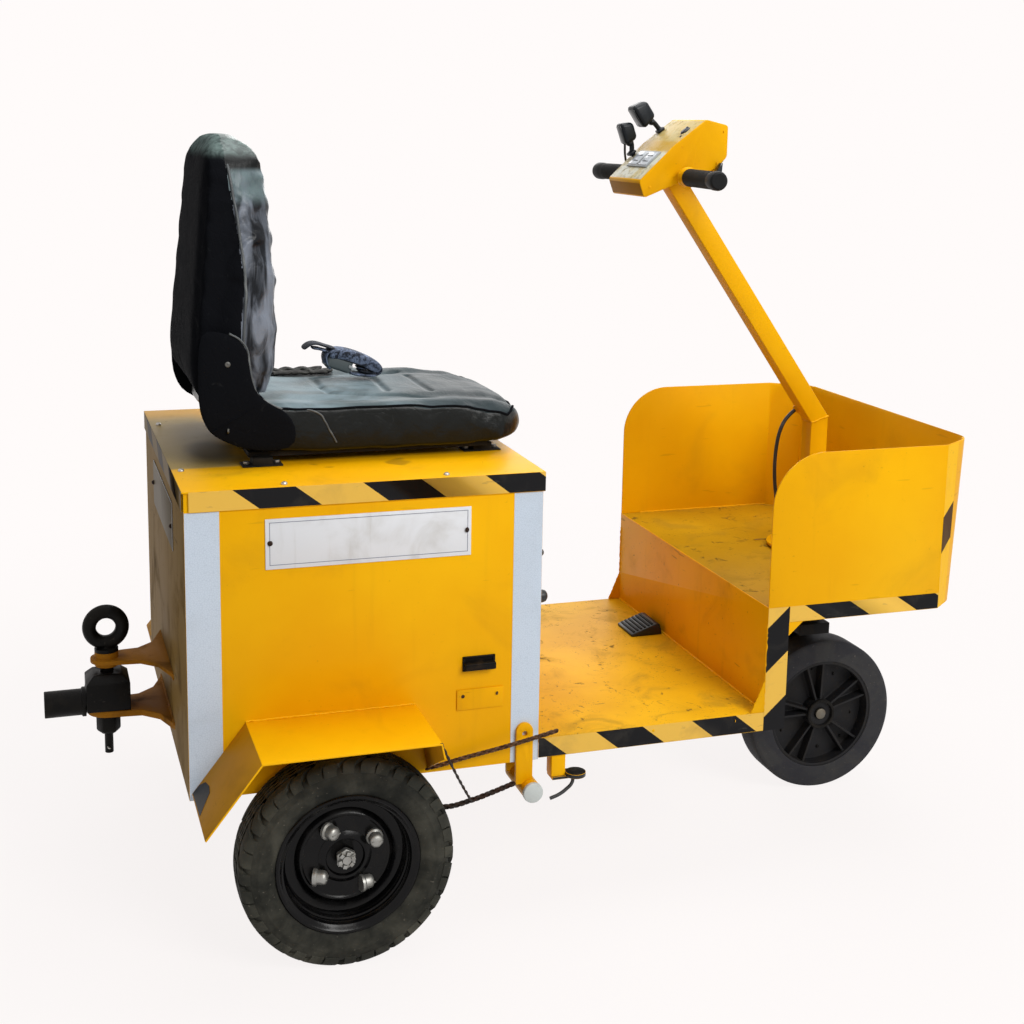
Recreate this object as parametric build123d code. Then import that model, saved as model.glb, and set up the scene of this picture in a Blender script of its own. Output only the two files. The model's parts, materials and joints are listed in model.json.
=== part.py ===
from build123d import *
import math
import os

os.makedirs("parts", exist_ok=True)

# Three-wheeled electric baggage tug. Millimetres, +X forward, +Y left, +Z up.
# The origin is on the floor, under the middle of the whole vehicle.

# ---- driving dimensions -------------------------------------------------------------
SHEET = 3.0                 # folded body sheet
PLATE = 8.0                 # welded bracket plate
BODY_HALF = 367.0           # half width over the battery box sides
SKIRT_HALF = BODY_HALF + SHEET      # lid flange, footboard lips and tray sides

BOX_REAR, BOX_FRONT = -678.0, -48.0
BOX_LOW, BOX_HIGH = 299.0, 806.0    # visible height of the box sides
LID_TOP = 842.0

STEP_TOP, STEP_LIP = 341.0, 303.0   # footboard surface and the foot of its side lips
RISER_X = 411.0
DECK_TOP, DECK_LIP = 549.0, 517.0
STRIP_W = 45.0                      # upright strip beside the riser

TRAY_TOP = 848.0
TRAY_FOLD_X = 785.0                 # side panel folds inwards here
TRAY_NOSE_LOW, TRAY_NOSE_TOP = 851.0, 868.0
TRAY_NOSE_HALF = 318.0
TRAY_CORNER_R = 105.0

REAR_X, REAR_Y, REAR_R = -421.0, 420.0, 190.0
REAR_W = 90.0
RIM_LIP_R = 127.0
RIM_SEAT_R = 109.5
FRONT_X, FRONT_R, FRONT_W = 736.0, 170.0, 72.0
FRONT_RIM_R = 122.0
STEER_X = 702.0                     # upright steering axis
STEM_R, STEM_HOLE_R = 19.0, 24.5

TUBE = 40.0                         # square tube of the steering column
KINK_Z = 836.0
COLUMN_TOP_X, COLUMN_TOP_Z = 321.0, 1376.0
CONSOLE_HALF = 81.0
GRIP_X, GRIP_Z, GRIP_R = 334.0, 1351.0, 17.0

FENDER_HALF, FENDER_Z = 549.0, 431.0
FENDER_REAR_X, FENDER_FRONT_X = -581.0, -281.0

AXLE_R = 15.0
STUD_CIRCLE_R = 60.0

HITCH_X = -790.0                    # upright axis of the tow eye bolt
HITCH_UPPER_Z, HITCH_LOWER_Z = 441.0, 345.0
EYE_Z, EYE_RING_R, EYE_BAR_R = 500.0, 30.0, 13.0
EYE_HOLE_R = 18.0                   # worn flat inside the ring

SEAT_HALF = 225.0
SEAT_LOW, SEAT_TOP = 866.0, 948.0

CABLE_D = 8.0
CABLE_ROUTE = [                     # x, y, z along the cable's way down
    (658.9, 13.0, 852.0),
    (637.6, 13.0, 837.0),
    (622.5, 14.0, 801.0),
    (617.8, 16.0, 752.0),
    (619.5, 17.0, 702.0),
    (626.5, 17.0, 655.0),
    (637.0, 15.0, 612.0),
    (643.0, 12.0, 590.0),
    (643.0, 12.0, 566.0),
]


# ---- helpers ------------------------------------------------------------------------
UP = (Align.CENTER, Align.CENTER, Align.MIN)


def save(name, shape):
    export_step(shape, f"parts/{name}.step")


def block(x0, x1, y0, y1, z0, z1):
    """A box given by its lowest and highest corners."""
    return Pos((x0 + x1) / 2, (y0 + y1) / 2, (z0 + z1) / 2) * Box(x1 - x0, y1 - y0, z1 - z0)


def side_plate(points, y0, y1):
    """A plate whose outline is in X and Z, from y0 to y1."""
    face = make_face(Plane.XZ * Polyline(points, close=True))
    return Pos(0, y1, 0) * extrude(face, y1 - y0, dir=(0, -1, 0))


def flat_plate(points, z0, z1):
    """A plate whose outline is in X and Y, from z0 to z1."""
    face = make_face(Polyline(points, close=True))
    return Pos(0, 0, z0) * extrude(face, z1 - z0, dir=(0, 0, 1))


def rod_y(x, z, r, y0, y1):
    return Pos(x, (y0 + y1) / 2, z) * Rot(90, 0, 0) * Cylinder(r, y1 - y0)


def rod_z(x, y, r, z0, z1):
    return Pos(x, y, (z0 + z1) / 2) * Cylinder(r, z1 - z0)


def rod_x(y, z, r, x0, x1):
    return Pos((x0 + x1) / 2, y, z) * Rot(0, 90, 0) * Cylinder(r, x1 - x0)


def both_sides(shape):
    return shape + mirror(shape, about=Plane.XZ)


def turned(edges_or_points):
    """A solid turned about the Y axis from its section (radius, y)."""
    face = make_face(Polyline(edges_or_points, close=True))
    return revolve(face, Axis.Y)


def tube_along(points, diameter):
    """Straight runs joined by arcs as large as the runs allow."""
    radii = []
    for before, here, after in zip(points, points[1:], points[2:]):
        run_in = Vector(*here) - Vector(*before)
        run_out = Vector(*after) - Vector(*here)
        turn = math.radians(run_in.get_angle(run_out))
        radii.append(0.45 * min(run_in.length, run_out.length) / math.tan(turn / 2))
    path = FilletPolyline(*points, radius=radii)
    start = Plane(origin=path @ 0, z_dir=path % 0)
    tube = sweep(start * Circle(diameter / 2), path=path)
    print(f"tube d{diameter}: radii {[round(r) for r in radii]} length {path.length:.0f}",
          f"volume ratio {tube.volume / (math.pi * diameter ** 2 / 4 * path.length):.4f}")
    return tube


# ---- chassis ------------------------------------------------------------------------
RAIL_Y, RAIL_W = 270.0, 60.0
RAIL_LOW, RAIL_HIGH = 301.0, STEP_TOP - SHEET
FRAME_WALL = 4.0


UPRIGHT_X = RISER_X + SHEET          # posts stand behind the riser panel
POST = 40.0


def rail(y):
    x0, x1, y0, y1 = BOX_REAR + SHEET, UPRIGHT_X + POST, y - RAIL_W / 2, y + RAIL_W / 2
    outer = block(x0, x1, y0, y1, RAIL_LOW, RAIL_HIGH)
    return outer - block(x0, x1, y0 + FRAME_WALL, y1 - FRAME_WALL, RAIL_LOW + FRAME_WALL, RAIL_HIGH - FRAME_WALL)


CROSS_X = [BOX_REAR + SHEET + 20, -421.0, -90.0, 180.0, RISER_X - 20]
chassis = rail(RAIL_Y) + rail(-RAIL_Y)
for x in CROSS_X:
    chassis += block(x - 20, x + 20, -RAIL_Y + RAIL_W / 2, RAIL_Y - RAIL_W / 2, RAIL_LOW, RAIL_HIGH)

# ---- battery box --------------------------------------------------------------------
FLOOR_Z = RAIL_HIGH
WALL_Z0, WALL_Z1 = BOX_LOW, LID_TOP - SHEET
for side, name in ((-1, "right"), (1, "left")):
    y_out, y_in = side * BODY_HALF, side * (BODY_HALF - SHEET)
    save(f"box_side_{name}", block(BOX_REAR, BOX_FRONT, min(y_out, y_in), max(y_out, y_in), WALL_Z0, WALL_Z1))
inside = BODY_HALF - SHEET
save("box_rear_panel", block(BOX_REAR, BOX_REAR + SHEET, -inside, inside, WALL_Z0, WALL_Z1))
save("box_front_panel", block(BOX_FRONT - SHEET, BOX_FRONT, -inside, inside, FLOOR_Z, WALL_Z1))
save("box_floor", block(BOX_REAR + SHEET + PLATE, BOX_FRONT - SHEET, -inside, inside, FLOOR_Z, FLOOR_Z + SHEET))

LID_OVER = SHEET
NOTCH = 10.0                        # the flanges stop short of each other at the rear corners
lid = block(BOX_REAR - LID_OVER, BOX_FRONT + LID_OVER, -SKIRT_HALF, SKIRT_HALF, BOX_HIGH, LID_TOP)
lid -= block(BOX_REAR, BOX_FRONT, -BODY_HALF, BODY_HALF, BOX_HIGH, LID_TOP - SHEET)
corner_notch = block(BOX_REAR - NOTCH, BOX_REAR + NOTCH, BODY_HALF - NOTCH, BODY_HALF + NOTCH, BOX_HIGH,
                     LID_TOP - SHEET)
lid -= both_sides(corner_notch)
save("box_lid", lid)

BATTERY = (560.0, 600.0, 300.0)
box_mid_x = (BOX_REAR + BOX_FRONT) / 2
save("battery_block", block(box_mid_x - BATTERY[0] / 2, box_mid_x + BATTERY[0] / 2, -BATTERY[1] / 2,
                            BATTERY[1] / 2, FLOOR_Z + SHEET, FLOOR_Z + SHEET + BATTERY[2]))

# ---- fenders: a flat top with a long rear flap and a short, tapering front flap ----------
REAR_FLAP_FOOT = (-674.0, 312.0)    # x, z of the rear flap's lower edge
FRONT_FLAP_LEAN = 12.0              # degrees from upright
FRONT_FLAP_LONG, FRONT_FLAP_SHORT = 125.0, 28.0     # its inner and outer edges


def fender_left():
    top_line = [
        REAR_FLAP_FOOT, (FENDER_REAR_X, FENDER_Z), (FENDER_FRONT_X, FENDER_Z),
        (FENDER_FRONT_X, FENDER_Z - SHEET), (FENDER_REAR_X + 1.5, FENDER_Z - SHEET),
        (REAR_FLAP_FOOT[0] + 2.4, REAR_FLAP_FOOT[1] - 1.9),
    ]
    sheet = side_plate(top_line, BODY_HALF, FENDER_HALF)
    lean = math.radians(FRONT_FLAP_LEAN)
    bend = Plane(origin=(FENDER_FRONT_X, 0, FENDER_Z), x_dir=(0, 1, 0), z_dir=(math.cos(lean), 0, math.sin(lean)))
    flap = Polyline((BODY_HALF, 0), (FENDER_HALF, 0), (FENDER_HALF, -FRONT_FLAP_SHORT),
                    (BODY_HALF, -FRONT_FLAP_LONG), close=True)
    sheet += extrude(make_face(bend * flap), -SHEET, dir=bend.z_dir)
    return sheet


left_fender = fender_left()
save("fender_left", left_fender)
save("fender_right", mirror(left_fender, about=Plane.XZ))

# ---- footboard, riser and load deck ---------------------------------------------------
footboard = block(BOX_FRONT, RISER_X, -BODY_HALF, BODY_HALF, STEP_TOP - SHEET, STEP_TOP)
footboard += both_sides(block(BOX_FRONT, RISER_X, BODY_HALF, SKIRT_HALF, STEP_LIP, STEP_TOP))
save("footboard", footboard)

STRIP_X = RISER_X + STRIP_W
riser = block(RISER_X, UPRIGHT_X, -BODY_HALF, BODY_HALF, FLOOR_Z, DECK_TOP)
riser += both_sides(block(RISER_X, STRIP_X, BODY_HALF, SKIRT_HALF, STEP_LIP, DECK_TOP))
riser_gusset = side_plate([(RISER_X - 27, STEP_TOP), (RISER_X, STEP_TOP), (RISER_X, STEP_TOP + 64)],
                          BODY_HALF, SKIRT_HALF)
riser += both_sides(riser_gusset)
STRIP_GUSSET = (30.0, 27.0)         # forward and down, under the deck's lip
strip_gusset = side_plate([(STRIP_X, DECK_LIP), (STRIP_X + STRIP_GUSSET[0], DECK_LIP),
                           (STRIP_X, DECK_LIP - STRIP_GUSSET[1])], BODY_HALF, SKIRT_HALF)
riser += both_sides(strip_gusset)
save("riser_panel", riser)


def nose_outline(half, fold_x, nose_x, nose_half, rear_x):
    return [(rear_x, -half), (fold_x, -half), (nose_x, -nose_half), (nose_x, nose_half), (fold_x, half),
            (rear_x, half)]


deck_line = nose_outline(BODY_HALF, TRAY_FOLD_X, TRAY_NOSE_LOW - SHEET, TRAY_NOSE_HALF - SHEET, RISER_X + SHEET)
deck = flat_plate(deck_line, DECK_TOP - SHEET, DECK_TOP)
deck -= rod_z(STEER_X, 0, STEM_HOLE_R, DECK_TOP - SHEET - 1, DECK_TOP + 1)
save("load_deck", deck)


# ---- load tray: two side panels with a folded front corner, and a front panel ---------
def tray_block(half, nose_gap):
    """The tray's space, leaning a little outwards at the nose."""
    nose_low, nose_top = TRAY_NOSE_LOW - nose_gap, TRAY_NOSE_TOP - nose_gap
    gap = SKIRT_HALF - half
    low = make_face(Plane.XY.offset(DECK_LIP) * Polyline(
        nose_outline(half, TRAY_FOLD_X, nose_low, TRAY_NOSE_HALF - gap, RISER_X), close=True))
    top = make_face(Plane.XY.offset(TRAY_TOP) * Polyline(
        nose_outline(half, TRAY_FOLD_X, nose_top, TRAY_NOSE_HALF - gap, RISER_X), close=True))
    return loft([low, top], ruled=True)


tray = tray_block(SKIRT_HALF, 0.0) - tray_block(BODY_HALF, SHEET)
corner_x, corner_z = RISER_X + TRAY_CORNER_R, TRAY_TOP - TRAY_CORNER_R
corner_cut = block(RISER_X - 1, corner_x, -400, 400, corner_z, TRAY_TOP + 1)
corner_cut -= rod_y(corner_x, corner_z, TRAY_CORNER_R, -401, 401)
tray -= corner_cut
tray -= block(RISER_X - 1, STRIP_X, -400, 400, DECK_LIP - 1, DECK_TOP)
nose_cut = TRAY_NOSE_HALF
save("tray_side_right", tray & block(RISER_X, 900, -400, -nose_cut, DECK_LIP, TRAY_TOP))
save("tray_side_left", tray & block(RISER_X, 900, nose_cut, 400, DECK_LIP, TRAY_TOP))
save("tray_front", tray & block(600, 900, -nose_cut, nose_cut, DECK_LIP, TRAY_TOP))

# ---- front frame: uprights behind the riser, rails under the deck, steering head ------
UNDER_DECK = DECK_TOP - SHEET
FRONT_RAIL_Z = UNDER_DECK - 42.0
front_rails = block(UPRIGHT_X, UPRIGHT_X + POST, RAIL_Y - POST / 2, RAIL_Y + POST / 2, RAIL_LOW, UNDER_DECK)
front_rails += block(UPRIGHT_X, 820, RAIL_Y - POST / 2, RAIL_Y + POST / 2, FRONT_RAIL_Z, UNDER_DECK)
chassis += both_sides(front_rails)
for x in (STEER_X - 90, STEER_X + 90):
    chassis += block(x - 20, x + 20, -RAIL_Y + 20, RAIL_Y - 20, FRONT_RAIL_Z, UNDER_DECK)

HEAD_R = 38.0
HEAD_LOW = 402.0
head = rod_z(STEER_X, 0, HEAD_R, HEAD_LOW, UNDER_DECK)
head += block(STEER_X - 70, STEER_X + 70, -70, 70, UNDER_DECK - PLATE, UNDER_DECK)
for side in (-1, 1):
    head += block(STEER_X - 4, STEER_X + 4, min(side * HEAD_R, side * 70), max(side * HEAD_R, side * 70),
                  UNDER_DECK - 60, UNDER_DECK - PLATE)
STEM_GAP = 0.05
head -= rod_z(STEER_X, 0, STEM_R + STEM_GAP, HEAD_LOW - 1, UNDER_DECK + 1)
save("steering_head", head)


# ---- rear axle, motor and their carriers ----------------------------------------------
AXLE_BEAM_R = 28.0
BEAM_END = 355.0

GEARBOX_R = 72.0
axle = rod_y(REAR_X, REAR_R, AXLE_BEAM_R, -BEAM_END, BEAM_END)
axle += rod_y(REAR_X, REAR_R, 82.0, BEAM_END, BEAM_END + 8)
axle += rod_y(REAR_X, REAR_R, 82.0, -BEAM_END - 8, -BEAM_END)
axle += rod_y(REAR_X, REAR_R, AXLE_R, BEAM_END + 8, REAR_Y + 8)
axle += rod_y(REAR_X, REAR_R, AXLE_R, -REAR_Y - 8, -BEAM_END - 8)
axle += rod_y(REAR_X, REAR_R, GEARBOX_R, -78, 58)
save("rear_axle", axle)

MOTOR_R, MOTOR_LONG = 62.0, 220.0
MOTOR_X1 = REAR_X + MOTOR_LONG
motor = rod_x(-10, REAR_R, MOTOR_R, REAR_X, MOTOR_X1) - rod_y(REAR_X, REAR_R, GEARBOX_R, -80, 60)
motor += rod_x(-10, REAR_R, 40.0, MOTOR_X1, MOTOR_X1 + 22)
save("drive_motor", motor)

HITCH_BACKING_TOP = 460.0
chassis += block(BOX_REAR + SHEET, BOX_REAR + SHEET + PLATE, -150, 150, RAIL_LOW, HITCH_BACKING_TOP)
for y in (RAIL_Y, -RAIL_Y):
    saddle = block(REAR_X - 45, REAR_X + 45, y - 22, y + 22, REAR_R + AXLE_BEAM_R - 12, RAIL_LOW)
    chassis += saddle - rod_y(REAR_X, REAR_R, AXLE_BEAM_R, y - 30, y + 30)
save("chassis_frame", chassis)

# ---- wheels ---------------------------------------------------------------------------
LIP_Y0, LIP_Y1 = 36.0, 40.0         # steel lip, measured from the wheel's middle plane


def rear_tyre():
    """A low section pneumatic tyre: flanks and shoulders are arcs."""
    half = REAR_W / 2
    bead = [(RIM_SEAT_R, -31), (RIM_SEAT_R, 31), (113, 34.5), (RIM_LIP_R, LIP_Y0)]
    inner = Polyline((RIM_LIP_R, -LIP_Y0), (113, -34.5), *bead)
    flank_a = ThreePointArc((RIM_LIP_R, LIP_Y0), (150, half), (176, 41.5))
    shoulder_a = ThreePointArc((176, 41.5), (184.5, 38), (188.2, 30))
    crown = ThreePointArc((188.2, 30), (REAR_R, 0), (188.2, -30))
    shoulder_b = ThreePointArc((188.2, -30), (184.5, -38), (176, -41.5))
    flank_b = ThreePointArc((176, -41.5), (150, -half), (RIM_LIP_R, -LIP_Y0))
    face = make_face([inner, flank_a, shoulder_a, crown, shoulder_b, flank_b])
    return revolve(face, Axis.Y)


def stud_places():
    angles = [math.radians(30 + 90 * quarter) for quarter in range(4)]
    return [(STUD_CIRCLE_R * math.cos(angle), STUD_CIRCLE_R * math.sin(angle)) for angle in angles]


def rear_rim():
    """A deep steel rim, its disc near the wheel's middle, outside at +Y."""
    section = [
        (RIM_LIP_R, LIP_Y1), (RIM_LIP_R, LIP_Y0), (113, 34.5), (RIM_SEAT_R, 31),
        (RIM_SEAT_R, -31), (113, -34.5), (RIM_LIP_R, -LIP_Y0), (RIM_LIP_R, -LIP_Y1),
        (121, -LIP_Y1), (109, -38), (105.5, -33), (105.5, -8),
        (84, -8), (78, 0), (44, 0), (44, 4),
        (80, 4), (87, -4), (105.5, -4), (105.5, 33),
        (109, 38), (121, LIP_Y1),
    ]
    rim = turned(section)
    for x, z in stud_places():
        rim -= rod_y(x, z, STUD_R, -2, 6)
    return rim


HUB_IN = -44.0
STUD_R = 7.0
NUT_R, NUT_TOP = 12.5, 24.0


def rear_hub():
    """Drum, centre cup, castle nut and four domed wheel nuts, outside at +Y."""
    hub = turned([(0, HUB_IN), (78, HUB_IN), (78, -14), (70, 0), (44, 0), (44, 6), (38, 9), (33, 9), (33, 2), (0, 2)])
    hub += rod_y(0, 0, 17, 1, 20)
    for x, z in stud_places():
        hub += rod_y(x, z, STUD_R, -3, 6)
        hub += rod_y(x, z, NUT_R, 4, NUT_TOP - 5)
        hub += Pos(x, NUT_TOP - 5, z) * Rot(-90, 0, 0) * Cone(NUT_R, 7, 5, align=(Align.CENTER, Align.CENTER, Align.MIN))
    hub -= rod_y(0, 0, AXLE_R + STEM_GAP, HUB_IN - 1, 9)
    return hub


wheel_kit = [("tyre", rear_tyre()), ("rim", rear_rim()), ("hub", rear_hub())]
for piece, shape in wheel_kit:
    save(f"rear_{piece}_left", Pos(REAR_X, REAR_Y, REAR_R) * shape)
    save(f"rear_{piece}_right", Pos(REAR_X, -REAR_Y, REAR_R) * mirror(shape, about=Plane.XZ))

TREAD_HALF = FRONT_W / 2
front_tyre = turned([(FRONT_RIM_R, -TREAD_HALF), (165, -TREAD_HALF), (FRONT_R, -TREAD_HALF + 5),
                     (FRONT_R, TREAD_HALF - 5), (165, TREAD_HALF), (FRONT_RIM_R, TREAD_HALF)])
save("front_tyre", Pos(FRONT_X, 0, FRONT_R) * front_tyre)

BARREL_IN, HUB_TUBE_R, BEARING_R = 115.0, 33.0, 26.0
FRONT_AXLE_R = 12.5
rim = turned([(FRONT_RIM_R, -34), (FRONT_RIM_R, 34), (BARREL_IN, 34), (BARREL_IN, -34)])
rim += turned([(HUB_TUBE_R - 1, -4), (BARREL_IN + 1, -4), (BARREL_IN + 1, 4), (HUB_TUBE_R - 1, 4)])
rim += turned([(FRONT_AXLE_R + STEM_GAP, -34), (HUB_TUBE_R, -34), (HUB_TUBE_R, 34), (FRONT_AXLE_R + STEM_GAP, 34)])
for pair in range(5):
    for half_step in (-10, 10):
        angle = 26 + 72 * pair + half_step
        rib = block(HUB_TUBE_R - 2, BARREL_IN + 2, -28, 28, -2.5, 2.5)
        rim += Rot(0, -angle, 0) * rib
for side in (-1, 1):
    rim -= rod_y(0, 0, BEARING_R, min(side * 28, side * 35), max(side * 28, side * 35))
save("front_rim", Pos(FRONT_X, 0, FRONT_R) * rim)

# ---- steering: one-sided fork, stem, column ------------------------------------------
CROWN_Z0, CROWN_Z1 = 362.0, 386.0
LEG_Y0, LEG_Y1 = 44.0, 56.0
fork = block(STEER_X - 36, STEER_X + 36, -46, LEG_Y1, CROWN_Z0, CROWN_Z1)
fork += side_plate([(STEER_X - 36, CROWN_Z0), (STEER_X + 36, CROWN_Z0), (FRONT_X + 24, FRONT_R),
                    (FRONT_X + 12, FRONT_R - 24), (FRONT_X - 12, FRONT_R - 24), (FRONT_X - 26, FRONT_R)],
                   LEG_Y0, LEG_Y1)
fork += rod_y(FRONT_X, FRONT_R, 24, LEG_Y0 - 7, LEG_Y0 + 2)
fork += rod_y(FRONT_X, FRONT_R, FRONT_AXLE_R, -31, LEG_Y0 + 2)
fork += rod_y(FRONT_X, FRONT_R, 20, LEG_Y1 - 2, LEG_Y1 + 10)

COLLAR_Z1 = HEAD_LOW - 0.5
FOOT_R, FOOT_Z0, FOOT_Z1 = 92.0, DECK_TOP + 5.0, DECK_TOP + 11.0
fork += rod_z(STEER_X, 0, STEM_R, CROWN_Z1 - 2, FOOT_Z0)
fork += rod_z(STEER_X, 0, HEAD_R - 4, CROWN_Z1 - 2, COLLAR_Z1)
save("front_fork", fork)

half = TUBE / 2
slope = math.atan2(STEER_X - COLUMN_TOP_X, COLUMN_TOP_Z - KINK_Z)
mitre = half * math.tan(slope / 2)
ux, uz = -math.sin(slope), math.cos(slope)


def column_outline(wall):
    h = half - wall
    m = h * math.tan(slope / 2)
    far = math.hypot(STEER_X - COLUMN_TOP_X, COLUMN_TOP_Z - KINK_Z)
    top_x, top_z = STEER_X + ux * far, KINK_Z + uz * far
    return [(STEER_X - h, FOOT_Z1), (STEER_X + h, FOOT_Z1), (STEER_X + h, KINK_Z + m),
            (top_x + uz * h, top_z - ux * h), (top_x - uz * h, top_z + ux * h), (STEER_X - h, KINK_Z - m)]


column = side_plate(column_outline(0.0), -half, half) - side_plate(column_outline(SHEET), -half + SHEET, half - SHEET)
column += rod_z(STEER_X, 0, FOOT_R, FOOT_Z0, FOOT_Z1)
GLAND_R = 8.0
GLAND_OUT = 6.0                     # how far the cable's glands stand out
foot_gland = rod_z(*CABLE_ROUTE[-1][:2], GLAND_R, FOOT_Z1 - 1, CABLE_ROUTE[-1][2])
exit_side = Vector(-uz, 0, ux)
top_gland = Plane(origin=Vector(*CABLE_ROUTE[0]) - exit_side * (GLAND_OUT + 1), z_dir=exit_side)
column += foot_gland + top_gland * Cylinder(GLAND_R, GLAND_OUT + 1, align=UP)
save("steering_column", column)
print("cable exit direction", exit_side, "from the axis of the slanted tube")

# ---- console: a folded box on the column's end -----------------------------------------
CONSOLE = [                         # x, z of its side outline
    (239.0, 1343.0), (312.0, 1413.0), (379.0, 1464.0), (427.0, 1453.0),
    (427.0, 1391.0), (404.0, 1368.0), (290.0, 1326.0), (251.0, 1310.0),
]
shell = side_plate(CONSOLE, -CONSOLE_HALF, CONSOLE_HALF)
centre_x = sum(x for x, z in CONSOLE) / len(CONSOLE)
centre_z = sum(z for x, z in CONSOLE) / len(CONSOLE)
HOLLOW = 0.92                       # the inner space, as a share of the outline
inner_outline = [(centre_x + (x - centre_x) * HOLLOW, centre_z + (z - centre_z) * HOLLOW) for x, z in CONSOLE]
shell -= side_plate(inner_outline, -CONSOLE_HALF + SHEET, CONSOLE_HALF - SHEET)
shell -= side_plate(column_outline(0.0), -half, half)
BAR_R = 11.0
shell -= rod_y(GRIP_X, GRIP_Z, BAR_R, -CONSOLE_HALF - 1, CONSOLE_HALF + 1)
clip = block(398, 418, -CONSOLE_HALF + 2, -CONSOLE_HALF + 18, 1350, 1392)
shell += clip - side_plate(CONSOLE, -CONSOLE_HALF, CONSOLE_HALF)
save("console_box", shell)

FACE_TILT = math.degrees(math.atan2(CONSOLE[1][1] - CONSOLE[0][1], CONSOLE[1][0] - CONSOLE[0][0]))
TOP_TILT = math.degrees(math.atan2(CONSOLE[2][1] - CONSOLE[1][1], CONSOLE[2][0] - CONSOLE[1][0]))


def on_slope(low, high, share, tilt, y, piece):
    """Place a piece, modelled with +Z as its outward side, on a sloping console face."""
    x = low[0] + (high[0] - low[0]) * share
    z = low[1] + (high[1] - low[1]) * share
    return Pos(x, y, z) * Rot(0, -tilt, 0) * piece


DISPLAY = (42.0, 100.0, 5.0)        # along the slope, across, thickness
bezel = Box(*DISPLAY, align=(Align.CENTER, Align.CENTER, Align.MIN))
save("display", on_slope(CONSOLE[0], CONSOLE[1], 0.575, FACE_TILT, -4, bezel))
key_switch = Cylinder(10, 7, align=(Align.CENTER, Align.CENTER, Align.MIN))
save("key_switch", on_slope(CONSOLE[1], CONSOLE[2], 0.55, TOP_TILT, -49, key_switch))

# ---- handlebar: welded to the column inside the console, swept back outside it ----------
GRIP_FROM, GRIP_LONG, SWEEP = 99.0, 223.0, 7.1
FLARE_R = 19.5


def swept(side, piece):
    """Place a piece, modelled along +Z, on the swept end of the bar."""
    return Pos(GRIP_X, side * GRIP_FROM, GRIP_Z) * Rot(-90 * side, 0, 0) * Rot(0, -SWEEP, 0) * piece


bar = None
for side, name in ((-1, "right"), (1, "left")):
    y0, y1 = sorted((side * half, side * GRIP_FROM))
    stub = rod_y(GRIP_X, GRIP_Z, BAR_R, y0, y1) + swept(side, Cylinder(BAR_R, GRIP_LONG - 8, align=UP))
    bar = stub if bar is None else bar + stub
    profile = Polyline((0, 0), (GRIP_R + 1, 0), (GRIP_R + 1, 8), (GRIP_R, 12), (GRIP_R, GRIP_LONG - 60),
                       (FLARE_R, GRIP_LONG - 36), (FLARE_R, GRIP_LONG - 5), (FLARE_R - 5, GRIP_LONG),
                       (0, GRIP_LONG), close=True)
    grip = revolve(make_face(Plane.XZ * profile), Axis.Z)
    grip -= Cylinder(BAR_R, GRIP_LONG - 8, align=UP)
    save(f"grip_{name}", swept(side, grip))
save("handlebar", bar)

# ---- two small work lamps on stalks at the console's left edge --------------------------
LAMP_Y = 66.0
#        name        body x, z     tilt  clamp x, z
LAMPS = [
    ("lamp_upper", 299.0, 1481.0, 35.0, 338.0, 1440.0),
    ("lamp_lower", 271.0, 1432.0, 8.0, 281.0, 1388.0),
]
for name, x, z, tilt, clamp_x, clamp_z in LAMPS:
    housing = fillet(Box(38, 40, 52).edges(), 8)
    lamp = Pos(x, LAMP_Y, z) * Rot(0, -tilt, 0) * housing
    reach = math.hypot(clamp_x - x, clamp_z - z)
    lean = math.degrees(math.atan2(clamp_x - x, clamp_z - z))
    lamp += Pos(x, LAMP_Y, z) * Rot(0, lean, 0) * Cylinder(5.5, reach, align=UP)
    lamp += Pos(clamp_x, LAMP_Y, clamp_z) * Sphere(9)
    lamp -= side_plate(CONSOLE, -CONSOLE_HALF, CONSOLE_HALF)
    save(name, lamp)

# ---- steering cable: out of the column's sloping rear face, down to its foot ------------
save("steering_cable", tube_along(CABLE_ROUTE, CABLE_D))

# ---- tow hitch: two plates, the eye bolt through them and the swivelling coupler ---------
PIN_R = 12.0
BUSH_R = 22.0
PLATE_HALF_BACK = 133.0


def hitch_plate(z0, z1, end_r):
    """A flared plate: a round end about the pin, widening to the box's rear."""
    flare = [(HITCH_X + 60, -end_r - 6), (HITCH_X + 90, -end_r - 34), (BOX_REAR, -PLATE_HALF_BACK)]
    outline = [(HITCH_X, -end_r)] + flare + [(x, -y) for x, y in reversed(flare)] + [(HITCH_X, end_r)]
    return flat_plate(outline, z0, z1) + rod_z(HITCH_X, 0, end_r, z0, z1)


upper = hitch_plate(HITCH_UPPER_Z - PLATE, HITCH_UPPER_Z, 30.0)
upper += rod_z(HITCH_X, 0, BUSH_R, 425, 453)
upper -= rod_z(HITCH_X, 0, PIN_R, 420, 460)
LOWER_THICK = 12.0
lower = hitch_plate(HITCH_LOWER_Z - LOWER_THICK, HITCH_LOWER_Z, 38.0)
lower -= rod_z(HITCH_X, 0, PIN_R, 320, 350)
save("hitch_plates", Compound([upper, lower]))

eye = Pos(HITCH_X, 0, EYE_Z) * Rot(90, 0, 0) * Torus(EYE_RING_R, EYE_BAR_R)
eye -= rod_y(HITCH_X, EYE_Z, EYE_HOLE_R, -EYE_BAR_R, EYE_BAR_R)
eye += rod_z(HITCH_X, 0, BUSH_R, 453, 460)
eye += rod_z(HITCH_X, 0, PIN_R, 290, 468)
eye += rod_z(HITCH_X, 0, 8, 250, 290)
save("hitch_eye_bolt", eye)
NUT_LOW = HITCH_LOWER_Z - LOWER_THICK - 42
nut = Pos(HITCH_X, 0, NUT_LOW) * extrude(RegularPolygon(23, 6), 42)
nut = chamfer(nut.faces().sort_by(Axis.Z)[0].edges(), 6)
nut -= rod_z(HITCH_X, 0, PIN_R, NUT_LOW - 1, 340)
save("hitch_nut", nut)

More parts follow.
